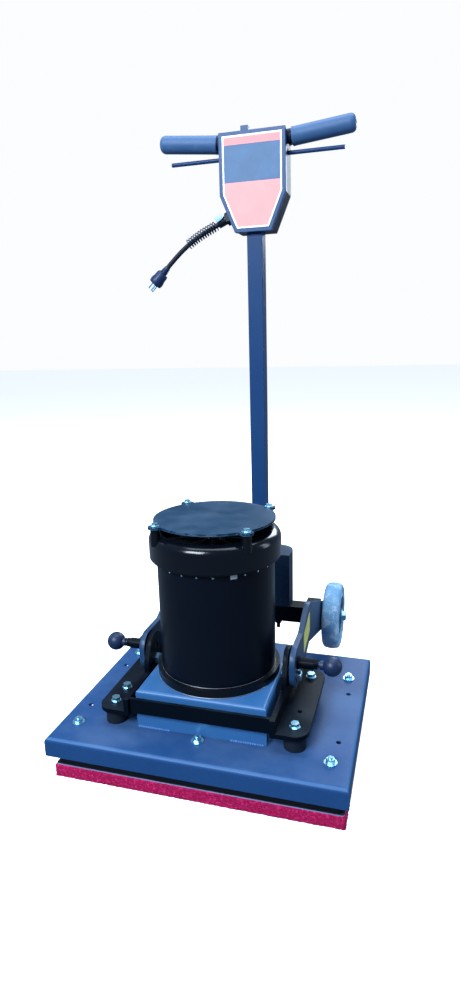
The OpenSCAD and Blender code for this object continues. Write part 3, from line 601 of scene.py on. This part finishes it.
def new_piece(name: str, mesh: bmesh.types.BMesh, finish: str, body: str,
              replaced: Sequence[str] = (), smooth: float = 35.0) -> bpy.types.Object:
    """Turns a bmesh into a finished piece.

    Args:
        name: The piece's name.
        mesh: Its shape, which is freed.
        finish: The name of its finish.
        body: The body that it rides on.
        replaced: CAD nodes that it stands for.
        smooth: Edges flatter than this many degrees are shaded smooth.

    Returns:
        The new object.
    """
    bmesh.ops.remove_doubles(mesh, verts=mesh.verts, dist=1e-6)
    bmesh.ops.recalc_face_normals(mesh, faces=mesh.faces)
    data = bpy.data.meshes.new(name)
    mesh.to_mesh(data)
    mesh.free()
    data.shade_smooth()
    piece = linked(name, data)
    data.set_sharp_from_angle(angle=math.radians(smooth))
    data.materials.append(PAINTS.get(finish))
    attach(piece, body)
    if replaced:
        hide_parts(*replaced)
    LOG.info("%s: %d faces", name, len(data.polygons))
    return piece


def spun(profile: Sequence[tuple[float, float]], steps: int, place: Matrix) -> bmesh.types.BMesh:
    """A solid of revolution.

    Args:
        profile: Closed outline of radius and height.
        steps: Steps round the axis.
        place: Where the axis's frame lies, the axis being its Z.

    Returns:
        The closed shape.
    """
    mesh = bmesh.new()
    verts = [mesh.verts.new((radius, 0.0, height)) for radius, height in profile]
    edges = [mesh.edges.new((a, b)) for a, b in zip(verts, verts[1:] + verts[:1])]
    bmesh.ops.spin(mesh, geom=verts + edges, cent=(0, 0, 0), axis=(0, 0, 1), angle=2 * math.pi,
                   steps=steps, use_merge=True)
    bmesh.ops.remove_doubles(mesh, verts=mesh.verts, dist=1e-6)
    loose = [edge for edge in mesh.edges if not edge.link_faces]
    bmesh.ops.delete(mesh, geom=loose, context="EDGES")
    mesh.transform(place)
    return mesh


def rounded(corners: Sequence[tuple[float, float]], radius: float,
            steps: int = 3) -> list[tuple[float, float]]:
    """An outline with its corners cut round.

    Args:
        corners: The sharp corners, in order.
        radius: How far along each side a corner's round reaches, limited by the sides.
        steps: Points in each round, less one.

    Returns:
        The rounded outline.
    """
    outline = []
    count = len(corners)
    for i in range(count):
        here = Vector(corners[i])
        before = Vector(corners[i - 1]) - here
        after = Vector(corners[(i + 1) % count]) - here
        reach = min(radius, before.length * 0.45, after.length * 0.45)
        start, end = here + before.normalized() * reach, here + after.normalized() * reach
        for step in range(steps + 1):
            t = step / steps
            outline.append(tuple(start * (1 - t) ** 2 + here * (2 * t * (1 - t)) + end * t ** 2))
    return outline


def axis_frame(origin: Vector, direction: Vector) -> Matrix:
    """A frame at origin with its Z along direction."""
    return Matrix.Translation(origin) @ direction.to_track_quat("Z", "Y").to_matrix().to_4x4()


def soften(node: str, width: float) -> None:
    """Gives a CAD node a fine rounded edge.

    Args:
        node: The node's name.
        width: Width of the rounded edge.
    """
    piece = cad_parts[node]
    weld = piece.modifiers.new("weld", "WELD")
    weld.merge_threshold = 2e-6
    bevel = piece.modifiers.new("soft_edge", "BEVEL")
    bevel.width = width
    bevel.segments = 2
    bevel.limit_method = "ANGLE"
    bevel.angle_limit = math.radians(38)
    bevel.harden_normals = True


def extruded(outline: Sequence[Point], push: Vector) -> bmesh.types.BMesh:
    """A flat outline pushed into a plate.

    Args:
        outline: Corners of the flat face.
        push: How far and where to.

    Returns:
        The closed plate.
    """
    mesh = bmesh.new()
    face = mesh.faces.new([mesh.verts.new(corner) for corner in outline])
    made = bmesh.ops.extrude_face_region(mesh, geom=[face])["geom"]
    moved = [part for part in made if isinstance(part, bmesh.types.BMVert)]
    bmesh.ops.translate(mesh, verts=moved, vec=push)
    bmesh.ops.recalc_face_normals(mesh, faces=mesh.faces)
    return mesh


# ---------- sub-assemblies ----------

@dataclass(frozen=True)
class SoftLight:
    """One soft rectangular light: where it hangs, what it faces, its width and height, and its watts."""

    name: str
    place: Point
    target: Point
    size: tuple[float, float]
    power: float


MIDDLE = (0.0, 0.0, 0.45)


@dataclass
class Studio:
    """The floor, the lights and the camera."""

    eye: Point = (0.33746, -1.03324, 0.74493)
    turn: float = 0.294
    dip: float = 0.240
    roll: float = -0.027
    lens: float = 23.06
    sensor: float = 36.0
    nearest: float = 0.05
    farthest: float = 60.0
    floor_size: float = 30.0
    room: Colour = (0.18, 0.25, 0.35)
    backdrop: Colour = (0.97, 0.98, 1.0)
    cool: Colour = (0.78, 0.89, 1.0)
    lights: tuple[SoftLight, ...] = (
        SoftLight("top", (0.1, 0.4, 3.4), (0.1, 0.1, 0.0), (3.2, 2.6), 130),
        SoftLight("front", (-0.9, -2.4, 2.3), MIDDLE, (1.5, 1.1), 190),
        SoftLight("back", (0.5, 3.2, 2.0), MIDDLE, (1.8, 1.2), 70),
        SoftLight("left_strip", (-2.2, 0.6, 0.9), MIDDLE, (0.3, 1.6), 8),
        SoftLight("right_strip", (2.2, 0.8, 0.9), MIDDLE, (0.5, 1.6), 13),
    )

    def make_camera(self) -> None:
        """Places the camera and makes it the scene's own."""
        turn, dip, roll = self.turn, self.dip, self.roll
        level = math.cos(dip)
        ahead = Vector((-math.sin(turn) * level, math.cos(turn) * level, -math.sin(dip)))
        across = Vector((math.cos(turn), math.sin(turn), 0))
        above = across.cross(ahead)
        right = across * math.cos(roll) + above * math.sin(roll)
        up = above * math.cos(roll) - across * math.sin(roll)
        data = bpy.data.cameras.new("camera")
        data.lens, data.sensor_width, data.sensor_fit = self.lens, self.sensor, "AUTO"
        data.clip_start, data.clip_end = self.nearest, self.farthest
        camera = linked("camera", data)
        facing = Matrix((right, up, -ahead)).transposed().to_4x4()
        camera.matrix_world = Matrix.Translation(self.eye) @ facing
        bpy.context.scene.camera = camera

    def make_floor(self) -> None:
        """Lays a wide pale floor that the object stands on."""
        mesh = bmesh.new()
        bmesh.ops.create_grid(mesh, x_segments=1, y_segments=1, size=self.floor_size / 2)
        data = bpy.data.meshes.new("floor")
        mesh.to_mesh(data)
        mesh.free()
        floor = linked("floor", data)
        data.materials.append(PAINTS.get("floor"))
        floor.visible_glossy = floor.visible_diffuse = False

    def add_light(self, lamp: SoftLight) -> None:
        """Adds one soft light in the studio's cool white.

        Args:
            lamp: The light.
        """
        data = bpy.data.lights.new(lamp.name, "AREA")
        data.shape, data.size, data.size_y = "RECTANGLE", *lamp.size
        data.energy, data.color = lamp.power, self.cool
        light = linked(lamp.name, data)
        aim = (Vector(lamp.target) - Vector(lamp.place)).to_track_quat("-Z", "Y").to_matrix().to_4x4()
        light.matrix_world = Matrix.Translation(lamp.place) @ aim

    def make_light(self) -> None:
        """Sets the even surround, the backdrop and the soft lights."""
        scene = bpy.context.scene
        scene.view_settings.view_transform = "Standard"
        world = bpy.data.worlds.new("studio")
        world.use_nodes = True
        nodes, links = world.node_tree.nodes, world.node_tree.links
        room = nodes["Background"]
        room.inputs["Color"].default_value = (*self.room, 1)
        backdrop = nodes.new("ShaderNodeBackground")
        backdrop.inputs["Color"].default_value = (*self.backdrop, 1)
        seen, choose = nodes.new("ShaderNodeLightPath"), nodes.new("ShaderNodeMixShader")
        links.new(seen.outputs["Is Camera Ray"], choose.inputs[0])
        links.new(room.outputs[0], choose.inputs[1])
        links.new(backdrop.outputs[0], choose.inputs[2])
        links.new(choose.outputs[0], nodes["World Output"].inputs["Surface"])
        scene.world = world
        for lamp in self.lights:
            self.add_light(lamp)


@dataclass
class PadStack:
    """The floor pad, whose fibre face is uneven and whose edge is soft."""

    pitch: float = 0.0036
    fuzz: float = 0.0017
    edge: float = 0.003
    tufts: float = 240.0
    strands: float = 610.0
    strand_share: float = 0.6
    lift: float = 0.25
    foot: float = 0.002

    def build(self) -> None:
        """Makes the pad."""
        low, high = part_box("floor_pad")
        size = high - low
        middle = (low + high) / 2
        mesh = bmesh.new()
        bmesh.ops.create_cube(mesh, size=1.0)
        mesh.transform(Matrix.Translation(middle) @ Matrix.Diagonal((*size, 1)))
        ease(mesh, mesh.edges, self.edge)
        self._cut(mesh, low, high)
        for vert in mesh.verts:
            push = (noise.noise(vert.co * self.tufts)
                    + self.strand_share * noise.noise(vert.co * self.strands))
            out = vert.normal * (self.fuzz * push)
            out.z *= self.lift if vert.co.z > low.z + self.foot else 0.0
            vert.co += out
            vert.co.z = min(max(vert.co.z, low.z), high.z)
        pad = new_piece("fibre_pad", mesh, "pad", "pad", ["floor_pad"], 60)

    def _cut(self, mesh: bmesh.types.BMesh, low: Vector, high: Vector) -> None:
        """Cuts the block into a fine grid.

        Args:
            mesh: The block.
            low: Its lowest corner.
            high: Its highest corner.
        """
        for axis in range(3):
            normal = Vector((axis == 0, axis == 1, axis == 2))
            span = high[axis] - low[axis]
            count = max(2, round(span / self.pitch))
            for step in range(1, count):
                place = low.copy()
                place[axis] += span * step / count
                whole = list(mesh.verts) + list(mesh.edges) + list(mesh.faces)
                bmesh.ops.bisect_plane(mesh, geom=whole, dist=1e-6, plane_co=place, plane_no=normal)
        mesh.normal_update()


@dataclass
class DeckTrim:
    """Weld beads round the riser and on the brackets, and the motor's rivets, blank tag and foot rings."""

    bead: float = 0.0026
    bead_step: float = 0.0042
    bead_wobble: float = 0.22
    weld_spans: tuple[tuple[float, float], ...] = ((0.02, 0.26), (0.74, 0.98))
    weld_inset: float = 0.002
    rivet: float = 0.0019
    tag: tuple[float, float] = (0.012, 0.007)
    tag_turn: float = 34.0
    rivets: int = 24
    rivet_drop: float = 0.007
    tag_gap: float = 8.0
    edge: float = 0.0008
    joint_edge: float = 0.0003
    ring_depth: float = 0.0015
    ring_proud: float = 0.0003
    ring_steps: int = 120

    def build(self) -> None:
        """Makes every trim piece of the deck body."""
        low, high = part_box("motor_riser")
        deck_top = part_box("deck_cover")[1].z
        corners = [(low.x, low.y), (high.x, low.y), (high.x, high.y), (low.x, high.y)]
        stretches = []
        for (ax, ay), (bx, by) in zip(corners, corners[1:] + corners[:1]):
            for start, end in self.weld_spans:
                stretches.append((
                    Vector((ax + (bx - ax) * start, ay + (by - ay) * start, deck_top)),
                    Vector((ax + (bx - ax) * end, ay + (by - ay) * end, deck_top))))
        new_piece("riser_weld", self._beads(stretches), "weld", "deck", smooth=80)
        self._bracket_welds()
        self._motor_trim()

    def _beads(self, stretches: Iterable[tuple[Vector, Vector]]) -> bmesh.types.BMesh:
        """Overlapping weld ripples along straight stretches.

        Args:
            stretches: Start and end of each stretch.

        Returns:
            The beads as one mesh.
        """
        mesh = bmesh.new()
        for start, end in stretches:
            span = end - start
            for i in range(int(span.length / self.bead_step) + 1):
                spot = start + span.normalized() * (self.bead_step * i)
                wobble = 1 + self.bead_wobble * noise.noise(spot * 300.0)
                bmesh.ops.create_icosphere(mesh, subdivisions=1, radius=self.bead * wobble,
                                           matrix=Matrix.Translation(spot))
        return mesh

    def _bracket_welds(self) -> None:
        """Makes the welds where the front bar meets the side brackets."""
        low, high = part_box("frame_bars")
        front, reach = low.y + 0.003, high.x - 0.0005
        stretches = [
            (Vector((side.value * reach, front, low.z + self.weld_inset)),
             Vector((side.value * reach, front, high.z - self.weld_inset))) for side in Side
        ]
        new_piece("bracket_weld", self._beads(stretches), "frame", "deck", smooth=80)

    def _motor_trim(self) -> None:
        """Makes the small rivets, the foot rings and the blank tag round the motor's shell."""
        low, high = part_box("motor_shell")
        centre = (low + high) / 2
        radius = (high.x - low.x) / 2
        height = high.z - self.rivet_drop
        mesh = bmesh.new()
        for i in range(self.rivets):
            turn = 2 * math.pi * i / self.rivets
            if abs(math.degrees(turn) - (270 + self.tag_turn)) < self.tag_gap:
                continue
            spot = Vector((centre.x + radius * math.cos(turn), centre.y + radius * math.sin(turn), height))
            place = axis_frame(spot, Vector((math.cos(turn), math.sin(turn), 0)))
            bmesh.ops.create_uvsphere(mesh, u_segments=10, v_segments=6, radius=self.rivet,
                                      matrix=place @ Matrix.Diagonal((1, 1, 0.5, 1)))
        new_piece("shell_rivets", mesh, "zinc", "deck", smooth=80)
        self._foot_rings(centre, low.z, radius)
        width, tall = self.tag
        start = math.radians(270 + self.tag_turn)
        mesh = bmesh.new()
        bmesh.ops.create_grid(mesh, x_segments=6, y_segments=2, size=0.5)
        for vert in mesh.verts:
            turn = start + vert.co.x * width / radius
            vert.co = Vector((centre.x + (radius + 0.0002) * math.cos(turn),
                              centre.y + (radius + 0.0002) * math.sin(turn), height + vert.co.y * tall))
        bmesh.ops.solidify(mesh, geom=list(mesh.faces), thickness=0.0005)
        new_piece("motor_tag", mesh, "trim", "deck")

    def _foot_rings(self, centre: Vector, shell_foot: float, radius: float) -> None:
        """Makes the bright machined edges at the top and the bottom of the motor's foot.

        Args:
            centre: The middle of the motor's shell.
            shell_foot: The shell's lower edge.
            radius: The shell's radius.
        """
        low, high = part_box("lower_bell")
        foot = (high.x - low.x) / 2
        mesh = bmesh.new()
        rings = ((foot, low.z + self.edge, self.edge), (radius, shell_foot, self.joint_edge))
        for reach, height, edge in rings:
            inner, outer = reach - self.ring_depth, reach + self.ring_proud
            outline = [(inner, -edge), (outer - edge / 2, -edge), (outer, 0.0),
                       (outer - edge / 2, edge), (inner, edge)]
            ring = spun(outline, self.ring_steps, Matrix.Translation((centre.x, centre.y, height)))
            part = bpy.data.meshes.new("ring")
            ring.to_mesh(part)
            ring.free()
            mesh.from_mesh(part)
            bpy.data.meshes.remove(part)
        new_piece("foot_rings", mesh, "ground", "deck", smooth=50)


@dataclass
class Wheel:
    """One transport wheel: a solid tyre with a crowned tread and round shoulders, and a ribbed hub."""

    side: Side
    crown: float = 0.0012
    turn: float = 0.009
    ribs: int = 8
    boss: float = 0.017
    rib_width: float = 0.003
    rib_depth: float = 0.0055

    def build(self) -> None:
        """Makes the tyre and the hub's ribs."""
        word = self.side.name.lower()
        low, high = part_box(f"{word}_tyre")
        middle = (low + high) / 2
        outer, width = (high.z - low.z) / 2, high.x - low.x
        hub_low, hub_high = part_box(f"{word}_wheel_hub")
        inner = (hub_high.z - hub_low.z) / 2
        half = width / 2
        place = axis_frame(middle, Vector((1, 0, 0)))
        turn, edge = self.turn, outer - self.crown
        tread = [(outer - self.crown * (i / 4 - 1) ** 2, (half - turn) * (i / 4 - 1)) for i in range(9)]
        outline = [(inner, -half), (inner + 0.006, -half), (inner + 0.008, -half + 0.0015),
                   (inner + 0.014, -half + 0.0015), (inner + 0.016, -half)]
        for i in range(8):
            angle = math.pi * i / 16
            outline.append((edge - turn + turn * math.sin(angle), -half + turn - turn * math.cos(angle)))
        outline += tread
        outline += [(r, -z) for r, z in reversed(outline[:-len(tread)])]
        new_piece(f"{word}_solid_tyre", spun(outline, 96, place), "tyre", f"wheel_{word}",
                  [f"{word}_tyre"], 40)
        self._ribs(word, middle, inner, width)

    def _ribs(self, word: str, middle: Vector, inner: float, width: float) -> None:
        """Makes the ribs between the hub's boss and rim.

        Args:
            word: "left" or "right".
            middle: The wheel's middle.
            inner: The hub's outside radius.
            width: The wheel's width.
        """
        mesh = bmesh.new()
        length = inner - 0.005 - self.boss
        for i in range(self.ribs):
            for face in (-1, 1):
                turn = Matrix.Rotation(2 * math.pi * i / self.ribs, 4, "X")
                shape = Matrix.Diagonal((self.rib_depth, self.rib_width, length + 0.001, 1))
                shift = Matrix.Translation((face * (width / 2 - self.rib_depth), 0, self.boss + length / 2))
                place = Matrix.Translation(middle) @ turn @ shift
                bmesh.ops.create_cube(mesh, size=1.0, matrix=place @ shape)
        ease(mesh, mesh.edges, 0.0006)
        new_piece(f"{word}_hub_ribs", mesh, "hub", f"wheel_{word}")


@dataclass
class ControlHead:
    """The label's printed panel, the cord with its plug and clip, and the soft grips."""

    border: float = 0.0032
    film: float = 0.0003
    strip_share: float = 0.085
    field_share: float = 0.50
    grip_flare: float = 0.0012
    grip_bore: float = 0.0112
    clip_shift: Point = (0.0035, -0.0125, 0.010)
    clip_size: Point = (0.016, 0.0016, 0.011)
    clip_turn: float = -32.0

    def build(self) -> None:
        """Makes the pieces of the head."""
        self._panel()
        self._cord()
        self._clip()
        for side in Side:
            self._grip(side)

    def _label_corners(self) -> list[tuple[float, float]]:
        """The label's corners as x and z, in order round it."""
        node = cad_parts["label_plate"]
        found = sorted({(round(v.co.x, 5), round(v.co.z, 5)) for v in node.data.vertices})
        middle = Vector((0, sum(z for _, z in found) / len(found)))
        return sorted(found, key=lambda p: math.atan2(p[1] - middle.y, p[0]))

    def _panel(self) -> None:
        """Makes the printed panel inside the white border."""
        corners = self._label_corners()
        low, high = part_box("label_plate")
        centre = Vector((0, (low.z + high.z) / 2))
        count = len(corners)
        inset = []
        for i in range(count):
            here = Vector(corners[i])
            first = (here - Vector(corners[i - 1])).normalized()
            second = (Vector(corners[(i + 1) % count]) - here).normalized()
            inwards = (second - first).normalized()
            if inwards.dot(centre - here) < 0:
                inwards = -inwards
            half_angle = math.asin(min(1.0, abs(first.cross(inwards))))
            inset.append(here + inwards * (self.border / math.sin(half_angle)))
        outline = [(p.x, low.y, p.y) for p in inset]
        top = max(p.y for p in inset)
        span = top - min(p.y for p in inset)
        PAINTS.add("bands", BandedFilm(
            "label_bands", strip=(0.78, 0.290, 0.290), field=(0.088, 0.150, 0.255),
            lower=(0.83, 0.330, 0.315), strip_edge=top - span * self.strip_share,
            field_edge=top - span * self.field_share))
        mesh = extruded(outline, Vector((0, -self.film, 0)))
        new_piece("label_bands", mesh, "bands", "handle")

    def _cord(self) -> None:
        """Makes the cord and its plug."""
        axle_y = (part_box("power_cord")[0].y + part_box("power_cord")[1].y) / 2
        data = bpy.data.curves.new("mains_cord", "CURVE")
        data.dimensions = "3D"
        data.bevel_depth = CORD_DIAMETER / 2
        data.bevel_resolution = 4
        data.resolution_u = 4
        data.use_fill_caps = True
        spline = data.splines.new("BEZIER")
        spline.bezier_points.add(len(CORD_ROUTE) - 1)
        for point, (x, z) in zip(spline.bezier_points, CORD_ROUTE):
            point.co = (x, axle_y, z)
            point.handle_left_type = point.handle_right_type = "AUTO"
        cord = linked("mains_cord", data)
        data.materials.append(PAINTS.get("cord"))
        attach(cord, "handle")
        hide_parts("power_cord")
        plug = self._plug(axle_y)

    def _plug(self, axle_y: float) -> bpy.types.Object:
        """Makes the plug: a ribbed neck, a flanged body and three pins.

        Args:
            axle_y: The cord's y.

        Returns:
            The plug.
        """
        end = Vector((CORD_ROUTE[-1][0], axle_y, CORD_ROUTE[-1][1]))
        before = Vector((CORD_ROUTE[-2][0], axle_y, CORD_ROUTE[-2][1]))
        along = (end - before).normalized()
        across = Vector((0, 1, 0)).cross(along)
        facing = Matrix((across, Vector((0, 1, 0)), along)).transposed().to_4x4()
        place = Matrix.Translation(end) @ facing
        neck = CORD_DIAMETER / 2
        outline = [(0.0, 0.0005), (neck + 0.0012, 0.0005)]
        for i in range(4):
            z = 0.002 + 0.0032 * i
            crest, dip = neck + 0.0016 + 0.0004 * i, neck + 0.0006 + 0.0004 * i
            outline += [(crest, z), (crest, z + 0.0018), (dip, z + 0.0020), (dip, z + 0.0030)]
        outline += [(0.0100, 0.0152), (0.0125, 0.0185), (0.0132, 0.0300), (0.0145, 0.0345),
                    (0.0148, 0.0400), (0.0140, 0.0445), (0.0, 0.0448)]
        mesh = spun(outline, 40, place)
        for side in (-1, 1):
            blade = bmesh.ops.create_cube(mesh, size=1.0)["verts"]
            spot = place @ Matrix.Translation((side * 0.006, 0, 0.0530))
            bmesh.ops.transform(mesh, verts=blade,
                                matrix=spot @ Matrix.Diagonal((0.0016, 0.0062, 0.0180, 1)))
        spot = place @ Matrix.Translation((0, 0.008, 0.0540))
        bmesh.ops.create_cone(mesh, cap_ends=True, segments=20, radius1=0.0024, radius2=0.0018,
                              depth=0.020, matrix=spot)
        plug = new_piece("moulded_plug", mesh, "plug", "handle", ["cord_plug"], 40)
        plug.data.materials.append(PAINTS.get("zinc"))
        limit = place @ Vector((0, 0, 0.0449))
        for face in plug.data.polygons:
            if (face.center - limit).dot(along) > 0:
                face.material_index = 1
        return plug

    def _clip(self) -> None:
        """Makes the pale clip tag that hangs on the cord by the gland."""
        low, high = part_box("cord_gland")
        exit_spot = Vector((CORD_ROUTE[0][0], (low.y + high.y) / 2, CORD_ROUTE[0][1]))
        place = Matrix.Translation(exit_spot + Vector(self.clip_shift))
        turn = Matrix.Rotation(math.radians(self.clip_turn), 4, "Y")
        mesh = bmesh.new()
        bmesh.ops.create_cube(mesh, size=1.0, matrix=place @ turn @ Matrix.Diagonal((*self.clip_size, 1)))
        ease(mesh, mesh.edges, 0.0005)
        new_piece("cord_clip", mesh, "clip", "handle")

    def _grip(self, side: Side) -> None:
        """Makes one soft grip with a rolled inner end and a domed outer end.

        Args:
            side: Which side it is on.
        """
        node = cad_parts["hand_grips"]
        spots = [v.co for v in node.data.vertices if v.co.x * side.value > 0]
        far = max(abs(p.x) for p in spots)
        near = min(abs(p.x) for p in spots)
        inner = [p for p in spots if abs(p.x) < near + 0.006]
        outer = [p for p in spots if abs(p.x) > far - 0.010]
        start = sum(inner, Vector()) / len(inner)
        end = sum(outer, Vector()) / len(outer)
        along = (end - start).normalized()
        length = (far - abs(start.x)) / abs(along.x)
        radius = max((p - start).cross(along).length for p in inner)
        steps = 14
        bore, roll = self.grip_bore, radius + self.grip_flare * 0.4
        outline = [(bore, 0.0), (radius - 0.002, 0.0), (roll, 0.0015), (roll, 0.004),
                   (radius, 0.006), (radius, 0.02)]
        outline += [(radius, 0.02 + (length - 0.031) * i / 5) for i in range(1, 6)]
        outline += [(radius - 0.009 * (1 - math.cos(a)), length - 0.011 + 0.0105 * math.sin(a))
                    for a in [math.pi / 2 * i / steps for i in range(1, steps)]]
        outline += [(0.0045, length), (0.004, length - 0.0015), (0.0, length - 0.0015),
                    (0.0, length - 0.006), (bore, length - 0.006)]
        mesh = spun(outline, 64, axis_frame(start, along))
        name = f"{side.name.lower()}_grip"
        replaced = ["hand_grips"] if side is Side.RIGHT else []
        new_piece(name, mesh, "grip", "handle", replaced, 30)


@dataclass
class ArmTrim:
    """The blank yellow film on the right arm's outer face and the bolt under the crossbar."""

    film: float = 0.0004
    stop_x: float = 0.042
    stop_front: float = 0.010
    corners: tuple[tuple[float, float], ...] = (
        (0.046, 0.160), (0.112, 0.176), (0.112, 0.218), (0.046, 0.198))

    def build(self) -> None:
        """Makes the film and the bolt."""
        face_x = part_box("right_arm")[1].x
        outline = [(face_x, y, z) for y, z in rounded(self.corners, 0.005, 4)]
        mesh = extruded(outline, Vector((self.film, 0, 0)))
        new_piece("arm_film", mesh, "sticker", "handle")
        self._stop_bolt()

    def _stop_bolt(self) -> None:
        """Makes the small bolt and nut that hang under the crossbar."""
        low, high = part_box("crossbar")
        spot = Vector((self.stop_x, (low.y + high.y) / 2 - self.stop_front, low.z))
        mesh = bmesh.new()
        for sides, radius, reach in ((6, 0.0085, 0.008), (16, 0.0045, 0.020)):
            part = bmesh.ops.create_cone(
                mesh, cap_ends=True, segments=sides, radius1=radius, radius2=radius, depth=reach,
                matrix=Matrix.Translation(spot - Vector((0, 0, reach / 2 - 0.0002))))
            rims = [edge for edge in mesh.edges if set(edge.verts) <= set(part["verts"])]
            ease(mesh, rims, 0.0005)
        new_piece("crossbar_bolt", mesh, "frame", "handle")


@dataclass
class Frame:
    """The CAD nodes: their finishes and fine rounded edges."""

    crisp: tuple[str, ...] = (
        "box_lid", "control_box", "frame_bars", "crossbar", "capacitor_box", "handle_tube",
        "lock_button", "cover_disc", "left_arm", "right_arm", "side_brackets", "pad_driver",
        "main_switch")
    broad: tuple[str, ...] = ("box_lid", "capacitor_box", "handle_tube")
    broad_edge: float = 0.0012
    fine_edge: float = 0.0007

    def build(self) -> None:
        """Dresses every node."""
        for name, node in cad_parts.items():
            node.data.materials.clear()
            node.data.materials.append(PAINTS.get(NODE_FINISH[name]))
        for name in self.crisp:
            soften(name, self.broad_edge if name in self.broad else self.fine_edge)
        LOG.info("dressed %d nodes", len(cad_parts))


def main() -> None:
    """Builds the studio and every sub-assembly in order."""
    logging.basicConfig(level=logging.INFO, format="%(name)s: %(message)s")
    studio = Studio()
    studio.make_camera()
    head = ControlHead()
    head.build()
    studio.make_floor()
    studio.make_light()
    Frame().build()
    PadStack().build()
    DeckTrim().build()
    for side in Side:
        Wheel(side).build()
    ArmTrim().build()
    bpy.context.view_layer.update()


if __name__ == "__main__":
    main()
